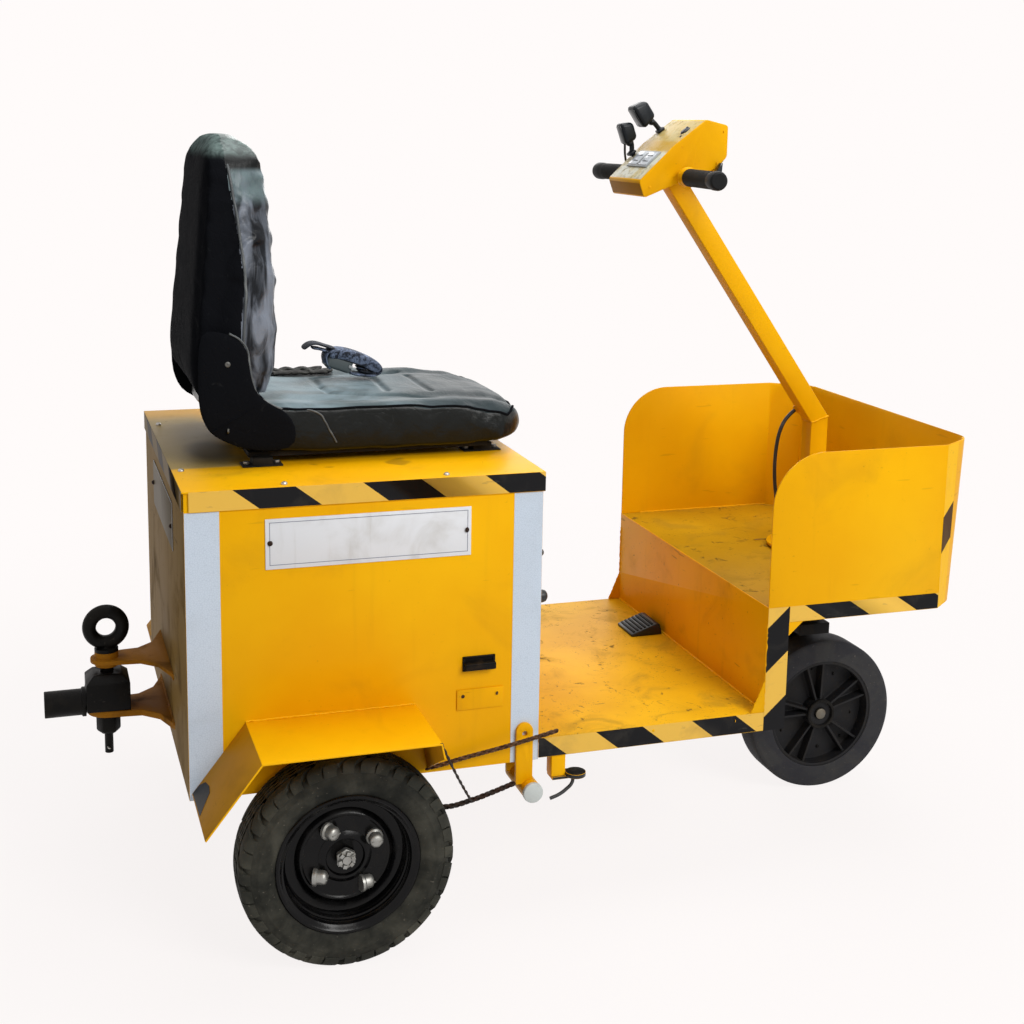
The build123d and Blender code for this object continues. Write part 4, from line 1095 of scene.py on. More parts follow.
def back_point(u, v, s):
    z = BACK_LOW + (BACK_HIGH - BACK_LOW) * (s + 1.0) / 2.0
    rear, edge, crest, half = along(BACK_ROWS, z)
    across = abs(v)
    y = v * (half - 3.0)
    bolster = math.exp(-((across - 0.86) / 0.1) ** 2)
    valley = math.exp(-((across - 0.62) / 0.09) ** 2)
    calm = 1.0 - 0.7 * max(0.0, s) ** 8
    front = crest - 16.0 + (16.0 * bolster - 9.0 * valley) * calm
    front += (edge - crest) * max(0.0, (across - 0.88) / 0.12) ** 1.5
    back = rear + 1.0 + 3.0 * across ** 8
    x = back + (front - back) * (u + 1.0) / 2.0
    z -= (15.0 * across ** 4 + 4.0 * u * u) * max(0.0, s) ** 6
    return x, y, z


def back_folds(co):
    """Long folds down the front panel and soft dents in the side panels."""
    front = max(0.0, min(1.0, (co.x + 0.56) / 0.02))
    wave = noise.noise(Vector((co.x * 8.0, co.y * 24.0, co.z * 2.0)))
    fine = noise.noise(Vector((co.x * 30.0, co.y * 60.0, co.z * 9.0)))
    dent = noise.noise(Vector((co.x * 12.0, co.y * 5.0, co.z * 9.0)))
    return front * (1.8 * max(0.0, wave) + 0.4 * fine) + 0.9 * dent


def back_edge(side):
    """The piped seam between a side panel and the front."""
    rows = []
    for z in (985, 1030, 1090, 1150, 1210, 1270, 1330, 1374):
        edge, half = along(BACK_ROWS, z)[1], along(BACK_ROWS, z)[3]
        rows.append((edge + 2.0, side * (half - 3.0), z))
    return points(rows)


def make_backrest():
    mesh = puffed("back_foam", skin("back_form", (14, 40, 44), back_point))
    head_seam = points([(-512, y, 1366 - abs(y) * 0.02) for y in range(-180, 181, 20)])
    lumbar = points([(-512, y, 1120) for y in range(-130, 131, 20)])
    uprights = [points([(-512, side * 128, z) for z in range(990, 1301, 30)]) for side in (-1, 1)]
    sewn(mesh, [head_seam, lumbar] + uprights, 5.0, 9.0, back_folds)
    for face in mesh.polygons:
        face.material_index = 1 if face.center.x / MM > along(BACK_ROWS, face.center.z / MM)[1] - 2.0 else 0
    back = finished("seat_back_pad", mesh, [VINYL, VINYL_FRONT], "root", "vinyl", ("seat_backrest",), smooth=80.0)
    for side, name in SIDES:
        tube(f"back_piping_{name}", laid_on(mesh, back_edge(side), 0.6), 2.5, PIPING, "root", "vinyl")


#            x      z     outline of a side wing, from its rear top round the front and back underneath
WING_LINE = [
    (-632, 1092), (-606, 1090), (-580, 1084), (-562, 1073), (-550, 1057), (-546, 1030), (-541, 1000), (-532, 976),
    (-507, 956), (-490, 948), (-470, 930), (-462, 900), (-470, 872), (-529, 873), (-568, 882), (-595, 895),
    (-619, 910), (-630, 937), (-636, 960), (-636, 1030),
]


def make_wing(side, name):
    """A stiff vinyl-covered flap over the seat's hinge, with piping round its front edge and two rivets."""
    bm = bmesh.new()
    middle = Vector((sum(x for x, z in WING_LINE), 0, sum(z for x, z in WING_LINE))) / len(WING_LINE)
    rings = []
    for share, out in ((1.0, 226.0), (1.0, 229.5), (0.93, 232.0), (0.7, 233.5), (0.35, 234.5)):
        ring = []
        for x, z in WING_LINE:
            place = middle + (Vector((x, 0, z)) - middle) * share
            ring.append(bm.verts.new(Vector((place.x, side * out, place.z)) * MM))
        rings.append(ring)
    bridge(bm, rings)
    bm.faces.new(rings[-1])
    bm.faces.new(rings[0])
    replaced = ("seat_wings",) if side < 0 else ()
    subdivided(finished(f"seat_wing_{name}", bm, VINYL, "root", "vinyl", replaced, 50.0), 1)
    edge = points([(x, side * 230.0, z) for x, z in WING_LINE[2:10]])
    tube(f"wing_piping_{name}", edge, 1.8, PIPING, "root", "vinyl")
    crease = points([(-612, side * 233.0, 912), (-570, side * 234.5, 936), (-526, side * 233.0, 961)])
    tube(f"wing_crease_{name}", crease, 1.2, VINYL, "root", "vinyl")


make_cushion()
make_backrest()
for side, name in SIDES:
    make_wing(side, name)

# ---- tapes ------------------------------------------------------------------------------
TAPE_THICK = 0.35


def clipped(polygon, low, high):
    """A polygon of (s, t) cut to s between low and high."""
    for limit, keep in ((low, 1.0), (high, -1.0)):
        cut = []
        for here, there in zip(polygon, polygon[1:] + polygon[:1]):
            inside, next_inside = keep * (here[0] - limit) >= 0, keep * (there[0] - limit) >= 0
            if inside:
                cut.append(here)
            if inside != next_inside:
                share = (limit - here[0]) / (there[0] - here[0])
                cut.append((limit, here[1] + (there[1] - here[1]) * share))
        polygon = cut
        if len(polygon) < 3:
            return []
    return polygon


def tape_patch(bm, corners, outward, polygon, length):
    """One thin patch of tape on the face between four corners: start top, end top, end foot, start foot."""
    start_top, end_top, end_foot, start_foot = (Vector(c) for c in corners)
    rings = []
    for lift in (-0.2, TAPE_THICK):
        ring = []
        for s, t in polygon:
            share = s / length
            top = start_top + (end_top - start_top) * share
            foot = start_foot + (end_foot - start_foot) * share
            ring.append(bm.verts.new((top + (foot - top) * t + Vector(outward) * lift) * MM))
        rings.append(ring)
    low, high = rings
    bm.faces.new(high)
    bm.faces.new(list(reversed(low)))
    bridge(bm, rings)


def tape_strip(name, corners, outward, blacks, lean, finishes=(TAPE_BLACK, TAPE_PALE)):
    """Warning tape along a strip: slanting black patches, pale tape between them."""
    length = (Vector(corners[1]) - Vector(corners[0])).length
    edges = sorted(edge for black in blacks for edge in black)
    stops = [-400.0] + edges + [length + 400.0]
    bm = bmesh.new()
    for number, (start, end) in enumerate(zip(stops, stops[1:])):
        polygon = clipped([(start, 0.0), (end, 0.0), (end + lean, 1.0), (start + lean, 1.0)], 0.0, length)
        if len(polygon) < 3:
            continue
        count = len(bm.faces)
        tape_patch(bm, corners, outward, polygon, length)
        bm.faces.ensure_lookup_table()
        for face in bm.faces[count:]:
            face.material_index = 1 - number % 2
    finished(name, bm, finishes, "root", "plate", smooth=20.0)


def side_tapes(side, name):
    """The tapes on one side of the vehicle; the left side repeats the right one."""
    out = (0.0, side, 0.0)
    skirt, wall = side * BODY_HALF_WIDTH, side * BOX_SKIN

    def strip(label, x0, x1, top, foot, blacks, lean, y=skirt, finishes=(TAPE_BLACK, TAPE_PALE)):
        corners = [(x0, y, top), (x1, y, top), (x1, y, foot), (x0, y, foot)]
        tape_strip(f"{label}_{name}", corners, out, blacks, lean, finishes)

    strip("lid_tape", -670, -45, 841.5, 807, [(72, 178), (294, 397), (513, 613)], 45)
    strip("step_tape", -48, 410.5, 340.5, 304, [(-83, 10), (112, 206), (307, 399)], 45)
    strip("deck_tape", 456.5, 785, 549, 518, [(32, 130), (235, 321)], 46)
    upright = [(456, skirt, 549), (456, skirt, 303), (411, skirt, 303), (411, skirt, 549)]
    tape_strip(f"riser_tape_{name}", upright, out, [(-1, 88), (177, 267)], 41)
    for label, x0, x1 in (("rear", -677.5, -620), ("front", -102, -48.5)):
        strip(f"white_tape_{label}", x0, x1, 805.5, 299.5, [], 0, wall, [TAPE_WHITE, TAPE_WHITE])


tape_strip("lid_tape_rear", [(-681, 360, 841.5), (-681, -360, 841.5), (-681, -360, 807), (-681, 360, 807)],
           (-1, 0, 0), [(62, 166), (283, 387), (504, 608)], 45, [TAPE_GRIMY_BLACK, TAPE_GRIMY])


def corner_tape(side, name):
    """The tape down the rear half of the tray's folded corner."""
    def on_fold(share, z):
        return (TRAY_FOLD + (nose_at(z) - TRAY_FOLD) * share,
                side * (BODY_HALF_WIDTH + (NOSE_HALF - BODY_HALF_WIDTH) * share), z)

    outward = Vector((52.0, side * 70.0, -3.0)).normalized()
    corners = [on_fold(0.0, 847), on_fold(0.0, 518), on_fold(0.5, 518), on_fold(0.5, 847)]
    tape_strip(f"fold_tape_{name}", corners, outward, [(144, 218)], -25, [TAPE_FADED, TAPE_BRIGHT])


def flap_tape(side, name):
    """A leftover piece of black tape low on the fender's rear flap."""
    inner, outer = side * BOX_SKIN, side * 549
    corners = [(-581, inner, 432), (-581, outer, 432), (-674, outer, 312), (-674, inner, 312)]
    shape = [(2, 0.985), (4, 0.86), (20, 0.77), (46, 0.74), (66, 0.76), (78, 0.85), (96, 0.975)]
    bm = bmesh.new()
    tape_patch(bm, corners, Vector((-120, 0, 93)).normalized(), shape, 182.0)
    finished(f"flap_tape_{name}", bm, TAPE_BLACK, "root", "plate", smooth=20.0)


for side, name in SIDES:
    side_tapes(side, name)
    corner_tape(side, name)
    flap_tape(side, name)


# ---- rear wheels ------------------------------------------------------------------------
REAR_WHEEL = Vector((-421.0, 420.0, 190.0))
FRONT_WHEEL = Vector((736.0, 0.0, 170.0))
PITCHES = 12                        # tread pattern repeats round a rear tyre


def tread_block(section, depth, start, end, lean, steps=3):
    """A block of tread between two angles in degrees. section runs over its face as (radius, y)."""
    bm = bmesh.new()
    layers = []
    for sunk in (0.0, depth):
        grid = []
        for radius, y in section:
            row = []
            for i in range(steps + 1):
                angle = math.radians(start + (end - start) * i / steps + lean(y))
                away = radius - sunk * (1.0 if radius > 178 else 0.5)
                across = y - (math.copysign(sunk * 0.6, y) if abs(y) > 36 else 0.0)
                row.append(bm.verts.new(Vector((away * math.sin(angle), across, away * math.cos(angle))) * MM))
            grid.append(row)
        layers.append(grid)
    face, base = layers
    for grid in layers:
        bridge(bm, grid, closed=False)
    for i in range(steps):
        for row in (0, -1):
            bm.faces.new((face[row][i], face[row][i + 1], base[row][i + 1], base[row][i]))
    for n in range(len(section) - 1):
        for i in (0, -1):
            bm.faces.new((face[n][i], face[n + 1][i], base[n + 1][i], base[n][i]))
    return bm


SHOULDER = [(170.0, 43.4), (176.5, 41.8), (183.0, 39.0), (187.0, 34.5), (188.6, 28.0), (189.2, 19.5)]


def shoulder_lean(y):
    """Notches curve backwards from the shoulder into the crown."""
    inward = (43.0 - abs(y)) / 24.0
    return 7.0 * inward * inward + 1.5 * inward


def mirrored(section):
    return [(radius, -y) for radius, y in section]


def tread_pitch():
    """One repeat of the tread: on both shoulders a wide lug and a tongue, in the middle zigzag ribs."""
    blocks = []
    for section, turn in ((SHOULDER, 0.0), (mirrored(SHOULDER), 15.0)):
        blocks.append(tread_block(section, 8.0, turn, turn + 8.2, shoulder_lean))
        blocks.append(tread_block(section[:4], 8.0, turn + 9.2, turn + 16.6, shoulder_lean))
        blocks.append(tread_block(section[3:], 8.0, turn + 8.6, turn + 17.4, shoulder_lean))
        blocks.append(tread_block(section, 7.0, turn + 20.0, turn + 26.5, shoulder_lean, 2))
    for number in range(3):
        first = number * 10.0
        for middle, half in ((-10.5, 4.2), (0.0, 4.4), (10.5, 4.2)):
            for low, high, way in ((first, first + 4.7, 1.0), (first + 5.0, first + 9.6, -1.0)):
                rib = tread_block([(189.4, middle + half), (189.8, middle), (189.4, middle - half)], 8.0, low, high,
                                  lambda y, way=way, middle=middle: 0.55 * way * (y - middle), 1)
                blocks.append(rib)
    return joined("tread_pitch", blocks)


CASING = [
    (118.0, 30.0), (124.0, 35.4), (128.5, 37.2), (134.0, 40.8), (141.0, 43.6), (149.0, 44.8), (154.0, 44.4),
    (155.5, 45.0), (157.5, 45.0), (159.0, 44.0), (166.0, 43.2), (170.0, 42.0), (175.0, 38.6), (179.5, 33.0),
    (181.5, 24.0), (182.5, 0.0),
]
RIM = [
    (121.5, 40.0), (125.5, 40.0), (127.2, 38.4), (127.0, 36.4), (124.4, 36.0), (116.0, 33.4), (114.0, 30.0),
    (111.6, 24.0), (109.6, 14.0), (109.6, -30.0), (113.0, -33.6), (124.4, -36.0), (127.0, -36.4), (127.2, -38.4),
    (125.5, -40.0), (121.5, -40.0), (118.0, -38.6), (109.6, -37.4), (106.4, -33.4), (105.5, -31.0), (105.5, -9.0),
    (103.6, -7.6), (88.0, -7.6), (84.4, -6.4), (80.4, -1.0), (77.0, 0.2), (47.0, 0.0), (47.0, 4.0), (74.0, 4.0),
    (76.5, 5.4), (79.5, 5.4), (83.0, 3.4), (87.6, -2.8), (91.0, -4.0), (101.0, -4.0), (104.6, -2.6), (105.5, 1.0),
    (105.5, 10.0), (107.0, 12.5), (107.2, 18.0), (109.4, 20.5), (109.5, 26.0), (111.4, 28.4), (112.6, 33.0),
    (116.6, 35.4), (118.6, 38.2), (121.5, 40.0),
]
CUP = [
    (0.0, 2.4), (29.0, 2.4), (32.6, 3.6), (33.4, 7.6), (34.6, 9.2), (37.4, 9.2), (40.0, 8.2), (44.6, 6.0), (47.2, 4.6),
    (47.2, 3.0), (44.0, 0.0), (70.0, -0.5), (77.0, -14.0), (78.0, -17.0), (78.0, -42.0), (76.0, -44.0), (0.0, -44.0),
]


def wheel_nut():
    """A domed wheel nut on its cone seat, with a slit across, seen from +Z."""
    bm = bmesh.new()
    rows = [(15.2, -4.4), (15.2, 0.4), (13.8, 2.0), (12.6, 3.2), (12.6, 11.0), (12.3, 14.4), (11.0, 17.2),
            (8.6, 19.2), (5.0, 20.4), (0.0, 20.8)]
    rings = []
    for radius, z in rows:
        if not radius:
            rings.append([bm.verts.new(Vector((0, 0, z)) * MM)] * 24)
            continue
        ring = []
        for i in range(24):
            angle = 2 * math.pi * i / 24
            flat = radius * (0.93 if 3 < z < 12 and i % 4 == 2 else 1.0)
            ring.append(bm.verts.new(Vector((flat * math.cos(angle), flat * math.sin(angle), z)) * MM))
        rings.append(ring)
    bridge(bm, rings)
    bm.faces.new(list(reversed(rings[0])))
    slit = block((-9.0, -1.1, 17.4), (9.0, 1.1, 20.95))
    return joined("wheel_nut", [bm, slit])


def castle_nut():
    """A castle nut with its six crowns, seen from +Z."""
    parts = [drum(6, 18.6, 18.6, 1.0, 12.0)]
    round_edges(parts[0], 1.2 * MM)
    for i in range(6):
        crown = block((8.6, -3.6, 11.0), (15.4, 3.6, 18.6), 0.8)
        bmesh.ops.rotate(crown, matrix=Matrix.Rotation(math.pi / 3 * i + 0.26, 3, "Z"), verts=crown.verts)
        parts.append(crown)
    parts.append(drum(24, 8.4, 7.4, 0.5, 17.5))
    pin = block((-17.5, -1.4, 13.4), (17.5, 1.4, 16.0), 0.5)
    bmesh.ops.rotate(pin, matrix=Matrix.Rotation(0.55, 3, "Z"), verts=pin.verts)
    parts.append(pin)
    return joined("castle_nut", parts)


def both_sides(half):
    """The whole closed section of a tyre, from one half of it."""
    return half + mirrored(reversed(half[:-1])) + [half[0]]


def turned_ring(profile, place, side, steps=96):
    """A lathe piece; side -1 makes the mirror image for the right wheel."""
    rows = [(radius, side * y) for radius, y in profile]
    return lathe(rows, place, steps)


def make_rear_wheel(side, name):
    body = f"rear_wheel_{name}"
    place = Vector((REAR_WHEEL.x, side * REAR_WHEEL.y, REAR_WHEEL.z))
    casing = turned_ring(both_sides(CASING), place, side)
    finished(f"tyre_casing_{name}", casing, TYRE, body, "tyre", (f"rear_tyre_{name}",), smooth=40.0)
    piece = tread_pitch()
    if side < 0:
        piece.transform(Matrix.Scale(-1, 4, (0, 1, 0)))
        piece.flip_normals()
    grown_piece(f"tyre_tread_{name}", RING, piece, None, TREAD, body, "tyre", smooth=35.0,
                Count=PITCHES, First=0.11 if side < 0 else 0.3, Place=place * MM)
    rim = turned_ring(RIM, place, side, 128)
    finished(f"rim_{name}", rim, RIM_BLACK, body, "black_steel", (f"rear_rim_{name}",), smooth=24.0)
    cup = turned_ring(CUP, place, side)
    finished(f"hub_{name}", cup, RIM_BLACK, body, "black_steel", (f"rear_hub_{name}",), smooth=24.0)
    outward = (0, side, 0)
    places = []
    for quarter in range(4):
        angle = math.radians(30 + 90 * quarter)
        places.append((place + Vector((60 * math.cos(angle), side * 8.6, 60 * math.sin(angle))), outward))
    screws(f"wheel_nuts_{name}", places, NUT_GREY, wheel_nut(), body=body)
    screws(f"castle_nut_{name}", [(place + Vector((0, side * 5.0, 0)), outward)], NUT_GREY, castle_nut(), body=body)


for side, name in SIDES:
    make_rear_wheel(side, name)


# ---- front wheel --------------------------------------------------------------------------
FRONT_CASING = [
    (122.0, 35.0), (123.5, 36.0), (160.0, 36.0), (165.0, 35.2), (168.4, 32.8), (169.8, 29.0), (170.0, 12.0),
    (170.0, 0.0),
]


HUB_RING = [
    (33.0, 30.0), (33.6, 34.6), (31.8, 36.6), (27.4, 36.6), (26.2, 34.8), (26.0, 28.2), (23.4, 27.6), (22.6, 25.6),
    (17.4, 25.6), (16.4, 27.4), (13.4, 27.6), (13.2, 20.0), (33.0, 20.0), (33.0, 30.0),
]


def make_front_wheel():
    tyre = lathe(both_sides(FRONT_CASING), FRONT_WHEEL, 128)
    finished("front_tyre_solid", tyre, TYRE_FRONT, "front_wheel", "tyre", ("front_tyre",), smooth=28.0)
    dress("front_rim", RIM_FRONT, "black_steel", 1.1, name="front_rim_cast")
    for side, name in SIDES:
        hub = turned_ring(HUB_RING, FRONT_WHEEL, side, 64)
        finished(f"front_hub_ring_{name}", hub, CARRIER_BLACK, "front_wheel", "black_steel", smooth=28.0)
    screws_at = []
    for pair in range(5):
        for offset, radius in ((0.0, 98.0), (0.0, 52.0), (36.0, 90.0)):
            angle = math.radians(26 + 72 * pair + offset)
            spot = FRONT_WHEEL + Vector((radius * math.cos(angle), -4.0, radius * math.sin(angle)))
            screws_at.append((spot, (0, -1, 0)))
    screws("front_rim_screws", screws_at, CARRIER_BLACK, screw_head(4.2, 2.4), body="front_wheel")
    rows = [(0.0, -34.6), (9.6, -34.6), (11.6, -33.6), (12.3, -32.0), (12.3, -28.0), (0.0, -28.0)]
    finished("front_axle_end", lathe(rows, FRONT_WHEEL, 48), AXLE_END, "steering", "black_steel")


make_front_wheel()


# ---- console ------------------------------------------------------------------------------
FACE_LOW, FACE_HIGH, TOP_HIGH = Vector((239, 0, 1343)), Vector((312, 0, 1413)), Vector((379, 0, 1464))


def console_face(face):
    """The lower sloped face is worn pale, the upper one tanned, the low end wall dirty and darker as painted shade."""
    middle = face.calc_center_median() / MM
    if abs(face.normal.y) < 0.1 and face.normal.x < -0.4:
        if face.normal.z > 0.4:
            return 1 if middle.x < 312 else 2
        return 3
    return 0


def slope_matrix(low, high, share, y):
    """Where a piece modelled towards +Z, its +X up the slope, sits on a sloping face."""
    run = (high - low).normalized()
    place = low + (high - low) * share + Vector((0, y, 0))
    turn = Matrix((run, Vector((0, 1, 0)), Vector((-run.z, 0, run.x)))).transposed().to_4x4()
    return Matrix.Translation(place * MM) @ turn


def placed(name, bm, matrix, finishes, body, slot, replaces=(), smooth=32.0):
    bmesh.ops.transform(bm, matrix=matrix, verts=bm.verts)
    finished(name, bm, finishes, body, slot, replaces, smooth)


def make_console():
    """The console's shell with its meter, lock, rivets and clip."""
    dress("console_box", [PAINT, PANEL_WORN, PANEL_TAN, PAINT_END], "body", 1.8, console_face, "console_shell", 5.0)
    low, high, top = FACE_LOW, FACE_HIGH, TOP_HIGH
    meter = slope_matrix(low, high, 0.575, -4)

    def on_meter(name, near, far, edge, finish, replaces=()):
        placed(name, block(near, far, edge), meter, finish, "steering", "display", replaces)

    on_meter("meter_frame", (-22, -50, 0), (22, 50, 3.2), 1.4, METER_GREY, ("display",))
    for number, (y0, y1) in enumerate(((-45.5, -5.0), (5.0, 45.5))):
        on_meter(f"meter_window_{number}", (-18.0, y0, 3.0), (18.0, y1, 4.4), 0.8, METER_PALE)
        for row, x in enumerate((-8.0, 7.0)):
            on_meter(f"meter_slot_{number}_{row}", (x - 1.1, y0 + 6, 4.2), (x + 1.1, y1 - 9, 4.8), 0.3, METER_DARK)
    on_meter("meter_rib", (-16.0, -4.2, 3.0), (16.0, 4.2, 4.7), 0.8, METER_GREY)
    lock = spun([(0.0, 3.4), (4.6, 3.4), (5.0, 2.6), (9.4, 2.6), (10.4, 1.6), (10.6, 0.0), (0.0, 0.0)])
    key_slot = block((-10.0, -2.4, 2.8), (10.0, 2.4, 3.9), 0.5)
    bmesh.ops.rotate(key_slot, matrix=Matrix.Rotation(0.35, 3, "Z"), verts=key_slot.verts)
    key = joined("key_parts", [lock, key_slot])
    bm = bmesh.new()
    bm.from_mesh(key)
    placed("key_lock", bm, slope_matrix(high, top, 0.55, -49), METER_DARK, "steering", "display", ("key_switch",))
    screws("console_dot", [(slope_matrix(high, top, 0.33, -60).translation / MM, (-0.6, 0, 0.8))], METER_DARK,
           screw_head(3.0, 1.6), body="steering")
    corners = [((x, side * 81.0, z), (0, side, 0))
               for x, z in ((262, 1331), (404, 1379), (415, 1440), (330, 1410)) for side in (-1, 1)]
    screws("console_rivets", corners, PAINT, screw_head(2.6, 1.2), body="steering")
    clip = block((394, -97, 1352), (409, -86, 1380), 0.0)
    for vertex in clip.verts:
        if vertex.co.z > 1370 * MM:
            vertex.co.x = (406 if vertex.co.x < 400 * MM else 411) * MM
    round_edges(clip, 1.6 * MM)
    placed("grip_clip", clip, Matrix.Identity(4), LENS, "steering", "black_steel")


make_console()


# ---- grips and bar ------------------------------------------------------------------------
GRIP_FROM, RIB_STEP = 18.0, 4.5      # where the rubber starts along the bar, and from rib to rib
GRIP_CUT = {-1: 31.0, 1: 9.0}        # how much shorter each worn grip is than a new one


def bar_way(side):
    """The way that one end of the bar points: outward and a little back."""
    return Vector((-0.1236, side * 0.9923, 0.0))


def make_grip(side, name):
    grip_end = 223.0 - GRIP_CUT[side]
    root = Vector((334, side * 99, 1351))
    rows = [(radius, GRIP_FROM + y) for radius, y in ((0.0, 0.0), (16.6, 0.0), (17.8, 1.6), (17.8, 6.0), (16.8, 8.0))]
    at = GRIP_FROM + 12.0
    while at < grip_end - 40.0:
        rows += [(16.6, at), (17.2, at + 0.7), (17.2, at + 2.6), (16.6, at + 3.3)]
        at += RIB_STEP
    rows += [(16.8, grip_end - 34.0), (17.8, grip_end - 27.0), (18.2, grip_end - 22.0), (18.2, grip_end - 7.0),
             (16.8, grip_end - 2.4), (13.6, grip_end), (0.0, grip_end)]
    boss = [(0.0, -1.0), (20.4, -1.0), (20.4, 3.0), (18.6, 5.0), (18.2, GRIP_FROM - 1.0), (17.0, GRIP_FROM + 0.5),
            (0.0, GRIP_FROM + 0.5)]
    for label, profile, finishes, slot, replaced in (
            ("rubber", rows, [GRIP, GRIP_END], "grip", (f"grip_{name}",)), ("boss", boss, [PAINT], "body", ())):
        bm = spun(profile, 40)
        for face in bm.faces:
            far = face.calc_center_median().z > (grip_end - 30.0) * MM
            face.material_index = 1 if far and label == "rubber" else 0
        placed(f"grip_{name}_{label}", bm, aimed(root, bar_way(side)), finishes, "steering", slot,
               replaced)


for vertex in bpy.data.objects["handlebar_sheet"].data.vertices:
    if abs(vertex.co.y) > 0.2:
        side = 1 if vertex.co.y > 0 else -1
        vertex.co -= bar_way(side) * (GRIP_CUT[side] * MM)
for side, name in SIDES:
    make_grip(side, name)


# ---- work lamps ---------------------------------------------------------------------------
def make_lamp(name, place, tilt, clamp, size):
    """A small lamp: domed housing, lens towards the driver, knuckle, stalk and clamp."""
    deep, wide, high = size
    bm = block((-deep / 2, -wide / 2, -high / 2), (deep / 2, wide / 2, high / 2))
    for vertex in bm.verts:
        if vertex.co.x > 0:
            vertex.co.y *= 0.74
            vertex.co.z *= 0.72
    round_edges(bm, 8.5 * MM, segments=5)
    lens = block((-deep / 2 - 1.2, -wide / 2 + 6, -high / 2 + 6), (-deep / 2 + 2, wide / 2 - 6, high / 2 - 6), 2.0)
    turn = Matrix.Translation(Vector(place) * MM) @ Matrix.Rotation(math.radians(-tilt), 4, "Y")

    def fitted(label, bm, matrix, finish=LAMP_BLACK, replaces=(), smooth=32.0):
        placed(f"{name}_{label}", bm, matrix, finish, "steering", "black_plastic", replaces, smooth)

    fitted("housing", bm, turn, replaces=(name,), smooth=40.0)
    fitted("lens", lens, turn, LENS)
    start, end = Vector(place), Vector(clamp)
    middle = (start + end) / 2 + Vector((4.0, 0, 0))
    tube(f"{name}_stalk", [start * MM, middle * MM, end * MM], 5.2, LAMP_BLACK, "steering", "black_plastic")
    for number, spot in enumerate((start + (end - start) * 0.52, end)):
        knob = bmesh.new()
        bmesh.ops.create_icosphere(knob, subdivisions=3, radius=8.0 * MM)
        for vertex in knob.verts:
            vertex.co.z *= 0.8
        fitted(f"knuckle_{number}", knob, Matrix.Translation(spot * MM), smooth=60.0)
    fitted("foot", block((-9, -8, -2), (9, 8, 4), 1.5), aimed(end, (-0.6, 0, 0.8)))


make_lamp("lamp_upper", (304, 66, 1475), 35, (345, 66, 1441), (36, 42, 53))
make_lamp("lamp_lower", (272, 66, 1436), 20, (284, 68, 1394), (30, 34, 48))
tube("lamp_stay", points([(268, 68, 1414), (280, 94, 1390), (296, 120, 1363)]), 2.4, LAMP_BLACK, "steering",
     "black_plastic")


# ---- hitch --------------------------------------------------------------------------------
STUB_DROP = 8.0                     # the drawbar stub sits a little under the block's middle


def make_hitch():
    for vertex in bpy.data.objects["coupler_block_sheet"].data.vertices:
        if vertex.co.x < -0.8305:
            vertex.co.z -= STUB_DROP * MM
    dress("hitch_plates", PAINT_HITCH, "body", 0.8)
    dress("hitch_eye_bolt", HITCH_BLACK, "black_steel", 0.8)
    dress("hitch_nut", HITCH_BLACK, "black_steel", 2.2)
    pin = points([(-790, -11, 262), (-790, -14, 262), (-792, 14, 262), (-796, 19, 256)])
    tube("split_pin", pin, 1.6, STEEL, "root", "black_steel")
    washer = spun([(13.0, 0.0), (27.0, 0.0), (27.6, 0.6), (27.6, 2.4), (27.0, 3.0), (13.0, 3.0), (13.0, 0.0)])
    placed("hitch_washer", washer, aimed((-790, 0, 333), (0, 0, -1)), HITCH_BLACK, "root", "black_steel")


make_hitch()


# ---- chains and wire ----------------------------------------------------------------------
def chain_link(long=19.0, wide=13.0, wire=2.2):
    """One oval link lying in the XY plane, its length along X."""
    bm = bmesh.new()
    reach = (long - wide) / 2
    around, sides = 14, 6
    rings = []
    for i in range(around):
        angle = 2 * math.pi * i / around
        middle = Vector((math.cos(angle) * (wide / 2 - wire) + math.copysign(reach, math.cos(angle)),
                         math.sin(angle) * (wide / 2 - wire), 0))
        outward = Vector((math.cos(angle), math.sin(angle), 0))
        rings.append([bm.verts.new((middle + outward * wire * math.cos(2 * math.pi * k / sides)
                                    + Vector((0, 0, wire * math.sin(2 * math.pi * k / sides)))) * MM)
                      for k in range(sides)])
    bridge(bm, rings + rings[:1])
    return to_mesh("chain_link", bm)


#    name     finish pitch, link length, width, wire      route
CHAINS = [
    ("upper", CHAIN_BROWN, 8.4, 13.0, 10.0, 2.3,
     [(-272, -360, 303), (-236, -374, 314), (-202, -379, 323), (-117, -386, 340), (-71, -389, 350), (-18, -376, 354)]),
    ("lower", CHAIN, 9.6, 15.0, 12.0, 2.7,
     [(-262, -350, 232), (-227, -383, 237), (-180, -386, 245), (-145, -388, 255), (-104, -386, 266)]),
]
for name, finish, pitch, long, wide, wire, route in CHAINS:
    grown_piece(f"chain_{name}", LINKS, chain_link(long, wide, wire), curve_mesh("line", points(route), 12), finish,
                "root", "chain", ("chains",) if name == "upper" else (), 50.0, Pitch=pitch * MM)
tube("rubber_hook", points([(19, -376, 262), (15, -379, 250), (4, -380, 240), (-10, -381, 232), (-28, -381, 226)]), 3.4,
     PLASTIC, "root", "chain")


def make_wire():
    """Two thin wires twisted round each other."""
    start, end = Vector((-283, -547, 431)), Vector((-183, -392, 247))
    run = end - start
    side = run.cross(Vector((0, 0, 1))).normalized()
    up = side.cross(run).normalized()
    for number in range(2):
        path = []
        for i in range(61):
            share = i / 60
            angle = share * 2 * math.pi * 5 + number * math.pi
            sag = Vector((0, 0, -4.0 * math.sin(math.pi * share)))
            path.append((start + run * share + sag + (side * math.cos(angle) + up * math.sin(angle)) * 1.1) * MM)
        tube(f"twisted_wire_{number}", path, 1.6, CHAIN, "root", "chain", () if number else ("tie_wire",))


make_wire()


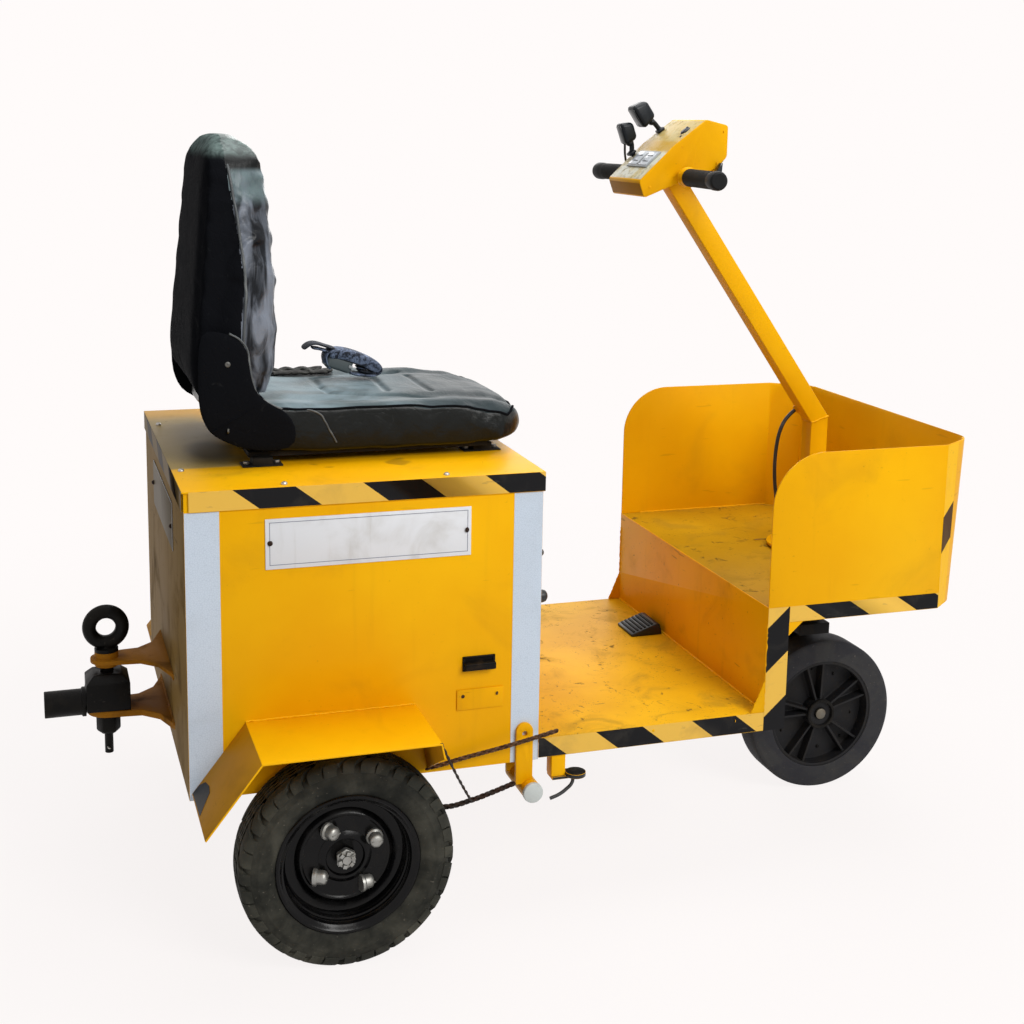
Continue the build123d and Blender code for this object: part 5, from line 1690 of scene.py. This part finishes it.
# ---- seat belt ------------------------------------------------------------------------------
def strap(name, path, width, thick, finish, across=(0, 1, 0), wave=0.0):
    """Flat webbing along points in millimetres; across is the way its width runs."""
    bm = bmesh.new()
    rows = []
    line = [Vector(p) for p in path]
    for number, place in enumerate(line):
        before, after = line[max(0, number - 1)], line[min(len(line) - 1, number + 1)]
        run = (after - before).normalized()
        side = (Vector(across) - run * run.dot(Vector(across))).normalized()
        out = run.cross(side).normalized()
        ring = []
        for n, share in enumerate((-1.0, -0.6, 0.0, 0.6, 1.0, 1.0, 0.6, 0.0, -0.6, -1.0)):
            lift = thick / 2 if n < 5 else -thick / 2
            swell = wave * math.sin(number * 1.3) * (1 - share * share)
            edge = 0.6 if abs(share) == 1.0 else 1.0
            ring.append(bm.verts.new((place + side * share * width / 2 + out * (lift * edge + swell)) * MM))
        rows.append(ring)
    bridge(bm, rows)
    bm.faces.new(rows[0])
    bm.faces.new(list(reversed(rows[-1])))
    subdivided(finished(name, bm, finish, "root", "webbing", smooth=60.0), 2)


def make_belt():
    """A lap belt rolled round its buckle, its end standing out behind, the rest lying flat and dirty."""
    across = 60.0
    tilted = Matrix.Translation(Vector((-318, across, 984)) * MM) @ Matrix.Rotation(math.radians(19), 4, "Y")
    placed("belt_buckle", block((-38, -25, -20), (14, 25, 12), 6.0, 3), tilted, BUCKLE, "root", "black_plastic",
           ("seat_belt",), 45.0)
    placed("belt_eye", block((6, -27.0, -9), (14, -24.0, -3), 1.0), tilted, METER_GREY, "root", "black_plastic")
    # A black block fills the buckle's gap: painted shade.
    placed("belt_gap", block((-32, -26.0, 2), (40, 25.0, 9.0), 1.5), tilted, PLASTIC, "root", "black_plastic")

    def roll(name, rows, width, thick, finish, wave=0.5):
        strap(name, [(x, across, z) for x, z in rows], width, thick, finish, wave=wave)

    roll("belt_loop", [
        (-346, 968), (-358, 984), (-358, 1001), (-345, 1009), (-322, 1009), (-296, 1001), (-270, 989), (-250, 977),
        (-245, 966), (-252, 957), (-270, 955), (-292, 958), (-312, 962)], 50, 6.5, WEBBING, 0.9)
    # The inner turn's darker webbing is painted shade inside the roll.
    roll("belt_inner_turn", [
        (-338, 999), (-318, 1000), (-294, 992), (-272, 981), (-259, 972), (-260, 964), (-274, 962), (-294, 967)],
        47, 6.5, WEBBING_DARK, 0.8)
    roll("belt_core", [(-300, 988), (-284, 981), (-272, 974), (-278, 968), (-296, 973)], 45, 6.0, WEBBING)
    roll("belt_tail", [(-336, 1010), (-352, 1014), (-367, 1020), (-381, 1023), (-393, 1018), (-401, 1010)],
         44, 5.5, WEBBING_DARK)
    roll("belt_tail_under", [(-344, 1004), (-358, 1007), (-372, 1012), (-384, 1012)], 42, 5.0, WEBBING, 0.6)
    drape = [(-353, 32, 1000), (-336, 34, 1003), (-312, 33, 996), (-290, 34, 988), (-268, 33, 977), (-250, 31, 966)]
    strap("belt_drape", drape, 19, 5.0, WEBBING, across=(0.35, -0.25, 1.0), wave=1.2)
    lying = [(-456 + 5.2 * i, 142 + 2.5 * math.sin(i * 0.9), 952 + 1.2 * math.sin(i * 1.7)) for i in range(26)]
    strap("belt_lying", lying, 46, 7.0, WEBBING_DIRTY, wave=1.4)
    second = [(-452 + 6.0 * i, 160 + 3.0 * math.sin(i * 1.3), 955 + 1.4 * math.sin(i * 1.1 + 1)) for i in range(19)]
    strap("belt_lying_fold", second, 26, 5.0, WEBBING_DIRTY, wave=1.6)


make_belt()


# ---- small pieces on the box ------------------------------------------------------------------
CHANCE, UNEVEN = random.Random(7), 0.6


def bead(name, path, radius, finish, body="root"):
    """A weld bead: an uneven ridge along points in millimetres."""
    line = [Vector(p) for p in path]
    count = max(6, int(sum((b - a).length for a, b in zip(line, line[1:])) / 4.0))
    rows = []
    for i in range(count + 1):
        share = i / count * (len(line) - 1)
        step = min(int(share), len(line) - 2)
        spot = line[step] + (line[step + 1] - line[step]) * (share - step)
        rows.append((spot + Vector([CHANCE.uniform(-UNEVEN, UNEVEN) for axis in range(3)])) * MM)
    tube(name, rows, radius, finish, body, "body")


UP, RIGHT, REAR = (0, 0, 1), (0, -1, 0), (-1, 0, 0)
SEAT_FEET = [(x, side * y) for x, y in ((-522.0, 195.0), (-104.0, 160.0)) for side in (-1, 1)]
LID_SPOTS = [(x, side * 352.0) for side in (-1, 1) for x in (-508.0, -223.0)] + [(-665.0, -212.0), (-665.0, 212.0)]
screws("lid_screws", [((x, y, BOX_TOP), UP) for x, y in LID_SPOTS], STEEL, screw_head(5.6, 4.2))
SIGN_SPOTS = [((x, -369, 745), RIGHT) for x in (-536, -190)] + [((-680, y, 734), REAR) for y in (172, -172)]
screws("sign_screws", SIGN_SPOTS, CHAIN, screw_head(4.6, 3.0))
screws("plate_screws", [((x, -369.5, 437), RIGHT) for x in (-194, -130)], CHAIN_BROWN, screw_head(3.3, 1.6))
screws("step_rivets", [((x, side * BODY_HALF_WIDTH, 330.0), (0, side, 0)) for x in (180.0, 350.0) for side in (-1, 1)],
       PAINT_DULL, screw_head(2.8, 1.2))
screws("seat_bolts", [((x + dx, y, 843.5), UP) for x, y in SEAT_FEET for dx in (-27.0, 27.0)], STEEL_NUT,
       hex_bolt(6.0, 4.5))
screws("column_bolts", [((702 + 74 * math.cos(a), 74 * math.sin(a), 560.0), UP) for a in (0.79, 2.36, 3.93, 5.5)],
       STEEL_NUT, hex_bolt(7.0, 5.0), body="steering")
screws("wing_rivets", [((x, side * 233.6, z), (0, side, 0)) for x, z in ((-584, 1031), (-585, 914))
                       for side in (-1, 1)], RIVET, screw_head(5.0, 2.2))


def feet_flanges():
    """Small base flanges under the seat's feet."""
    parts = [block((x - 36, y - 20, BOX_TOP), (x + 36, y + 20, BOX_TOP + 3.0), 1.2) for x, y in SEAT_FEET]
    finished("seat_flanges", joined("seat_flanges", parts), CARRIER_BLACK, "root", "black_steel")


feet_flanges()


def make_handle():
    """A recessed pull: dark rim, hollow and a finger lip."""
    #  x from, to, out from the skin, in, z from, to, edge
    pieces = [
        (-195, -134, 3, 0.5, 507, 511, 1.2), (-195, -134, 3, 0.5, 483, 487, 1.2), (-195, -190, 3, 0.5, 483, 511, 1.2),
        (-139, -134, 3, 0.5, 483, 511, 1.2), (-191, -138, 1.2, 0.5, 486, 508, 0.0), (-193, -136, 16, -1, 496, 501, 1.8),
        (-193, -136, 16, -12, 488, 500, 1.8)]
    pull = joined("pull", [block((x0, -BOX_SKIN - out, z0), (x1, -BOX_SKIN + inside, z1), edge)
                           for x0, x1, out, inside, z0, z1, edge in pieces])
    finished("side_pull", pull, PULL, "root", "black_plastic", ("side_handle",), smooth=30.0)


make_handle()


def make_knobs():
    """Rubber buffers on the box's front wall."""
    for number, (z, radius, long, replaced) in enumerate(((606, 12.0, 16.0, ("box_knobs",)), (688, 6.5, 8.0, ()))):
        rows = [(0.0, 0.0), (radius, 0.0), (radius, long * 0.45), (radius * 0.86, long * 0.8), (radius * 0.5, long),
                (0.0, long)]
        placed(f"front_buffer_{number}", spun(rows, 32), aimed((-48, -350, z), (1, 0, 0)), PLASTIC, "root",
               "black_plastic", replaced)


make_knobs()


def make_signs():
    """Blank white plates with a fine line round their field."""
    dress("sign_plates", [SIGN, SIGN_GRIMY], "plate", 0.5, lambda face: int(face.calc_center_median().x / MM < -660))
    (x0, z0), (x1, z1), front, back, line = (-537, 706), (-189, 780), -369.3, -368.7, 1.0
    parts = [block((x0, front, z), (x1, back, z + line)) for z in (z0, z1)]
    parts += [block((x, front, z0), (x + line, back, z1 + line)) for x in (x0, x1)]
    finished("sign_line_0", joined("line", parts), SIGN_LINE, "root", "plate")


make_signs()


def stub_finish(face):
    """The stub hangs painted; the round pad under it is rubber."""
    middle = face.calc_center_median() / MM
    return 1 if middle.z < 270 and (middle.x > 6 or middle.z < 258) else 0


dress("foot_stub", [PAINT_DULL, PLASTIC], "body", 0.5, stub_finish)


# ---- stop tube, pedal, welds and deck -----------------------------------------------------------
def make_stop_tube():
    rows = [(0.0, -398.6), (16.2, -398.6), (18.4, -397.4), (19.0, -395.4), (19.0, -391.0), (18.2, -389.6),
            (18.0, -388.0), (18.0, -286.0), (17.0, -285.0), (14.6, -285.0), (14.6, -300.0), (0.0, -300.0)]
    bm = lathe(rows, (-66, 0, 248), 48)
    for face in bm.faces:
        face.material_index = 1 if face.calc_center_median().y < -389 * MM else 0
    finished("stop_tube_round", bm, [PAINT_DULL, CAP_PALE], "root", "black_steel",
             ("stop_tube",))


make_stop_tube()


def make_pedal():
    """Accelerator pedal with a ribbed rubber pad."""
    dress("accelerator_pedal", PLASTIC, "black_plastic", 1.2)
    foot, tip = Vector((332, 0, 347)), Vector((390, 0, 367))
    ribs = [block((6 + 9 * i, -37, 0.0), (11 + 9 * i, 37, 2.6), 0.8) for i in range(6)]
    finished("pedal_ribs", joined("pedal_ribs", ribs, slope_matrix(foot, tip, 0.0, 141)), GRIP, "root", "black_plastic")


make_pedal()


def make_welds():
    """Beads round the column's kink and foot, and along the joints of the sheets."""
    x, half = 702, 20.0
    lift = half * math.tan(math.atan2(x - 321, 1376 - 836) / 2)
    rear, front = (x - half, 836 - lift), (x + half, 836 + lift)
    kink = [("right", rear, -half, front, -half), ("left", rear, half, front, half), ("rear", rear, -half, rear, half)]
    for name, (x0, z0), y0, (x1, z1), y1 in kink:
        bead(f"kink_weld_{name}", [(x0, y0, z0), (x1, y1, z1)], 2.0, PAINT, "steering")
    around = [(-half, -half), (half, -half), (half, half), (-half, half), (-half, -half)]
    bead("foot_weld", [(x + dx, dy, 560.0) for dx, dy in around], 3.0, PAINT_DULL, "steering")
    for side, name in SIDES:
        y = side * 368.5
        bead(f"riser_weld_{name}", [(411, y, 342), (411, y, 516)], 1.8, PAINT_DULL)
        bead(f"gusset_weld_{name}", [(385, y, 342), (411, y, 405)], 1.2, PAINT_DULL)
        bead(f"fender_weld_{name}", [(-581, side * BOX_SKIN, 432), (-281, side * BOX_SKIN, 432)], 1.8, PAINT)
    bead("step_weld", [(411, -366, 341.5), (411, 366, 341.5)], 2.4, PAINT_DULL)
    for side, name in SIDES:
        bead(f"tray_weld_{name}", [(456, side * 366, 549.5), (785, side * 366, 549.5)], 2.0, PAINT_DULL)
    for z in (345, 433):
        bead(f"hitch_weld_{z}", [(-678, -133, z), (-678, 133, z)], 3.0, PAINT_HITCH)


make_welds()


def make_deck_slot():
    """A drain slot in the deck, shown as a thin black block in a raised rim: painted shade for the slot's depth."""
    finished("deck_slot_rim", block((607, 71, 549.0), (651, 79, 550.0), 0.4), PAINT_DECK, "root", "body")
    finished("deck_slot", block((609, 73, 549.6), (649, 77, 550.2)), PLASTIC, "root", "body")


make_deck_slot()

for node, finish in (("rear_axle", CARRIER_BLACK), ("steering_cable", CABLE)):
    NODES[node].data.materials.clear()
    NODES[node].data.materials.append(finish)


# ---- steering cable ---------------------------------------------------------------------
CABLE_ROUTE = [
    (0.6589, 0.013, 0.852),
    (0.6376, 0.013, 0.837),
    (0.6225, 0.014, 0.801),
    (0.6178, 0.016, 0.752),
    (0.6195, 0.017, 0.702),
    (0.6265, 0.017, 0.655),
    (0.6370, 0.015, 0.612),
    (0.6430, 0.012, 0.590),
    (0.6430, 0.012, 0.566),
]


def make_cable():
    data = bpy.data.curves.new("steering_cable_sheath", "CURVE")
    data.dimensions = "3D"
    data.bevel_depth = 4.0 * MM
    data.bevel_resolution = 5
    data.resolution_u = 10
    line = data.splines.new("NURBS")
    line.points.add(len(CABLE_ROUTE) - 1)
    for point, place in zip(line.points, CABLE_ROUTE):
        point.co = (*place, 1.0)
    line.order_u = 3
    line.use_endpoint_u = True
    data.materials.append(CABLE)
    made = linked("steering_cable_sheath", data)
    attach(made, "steering")
    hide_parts("steering_cable")


make_cable()
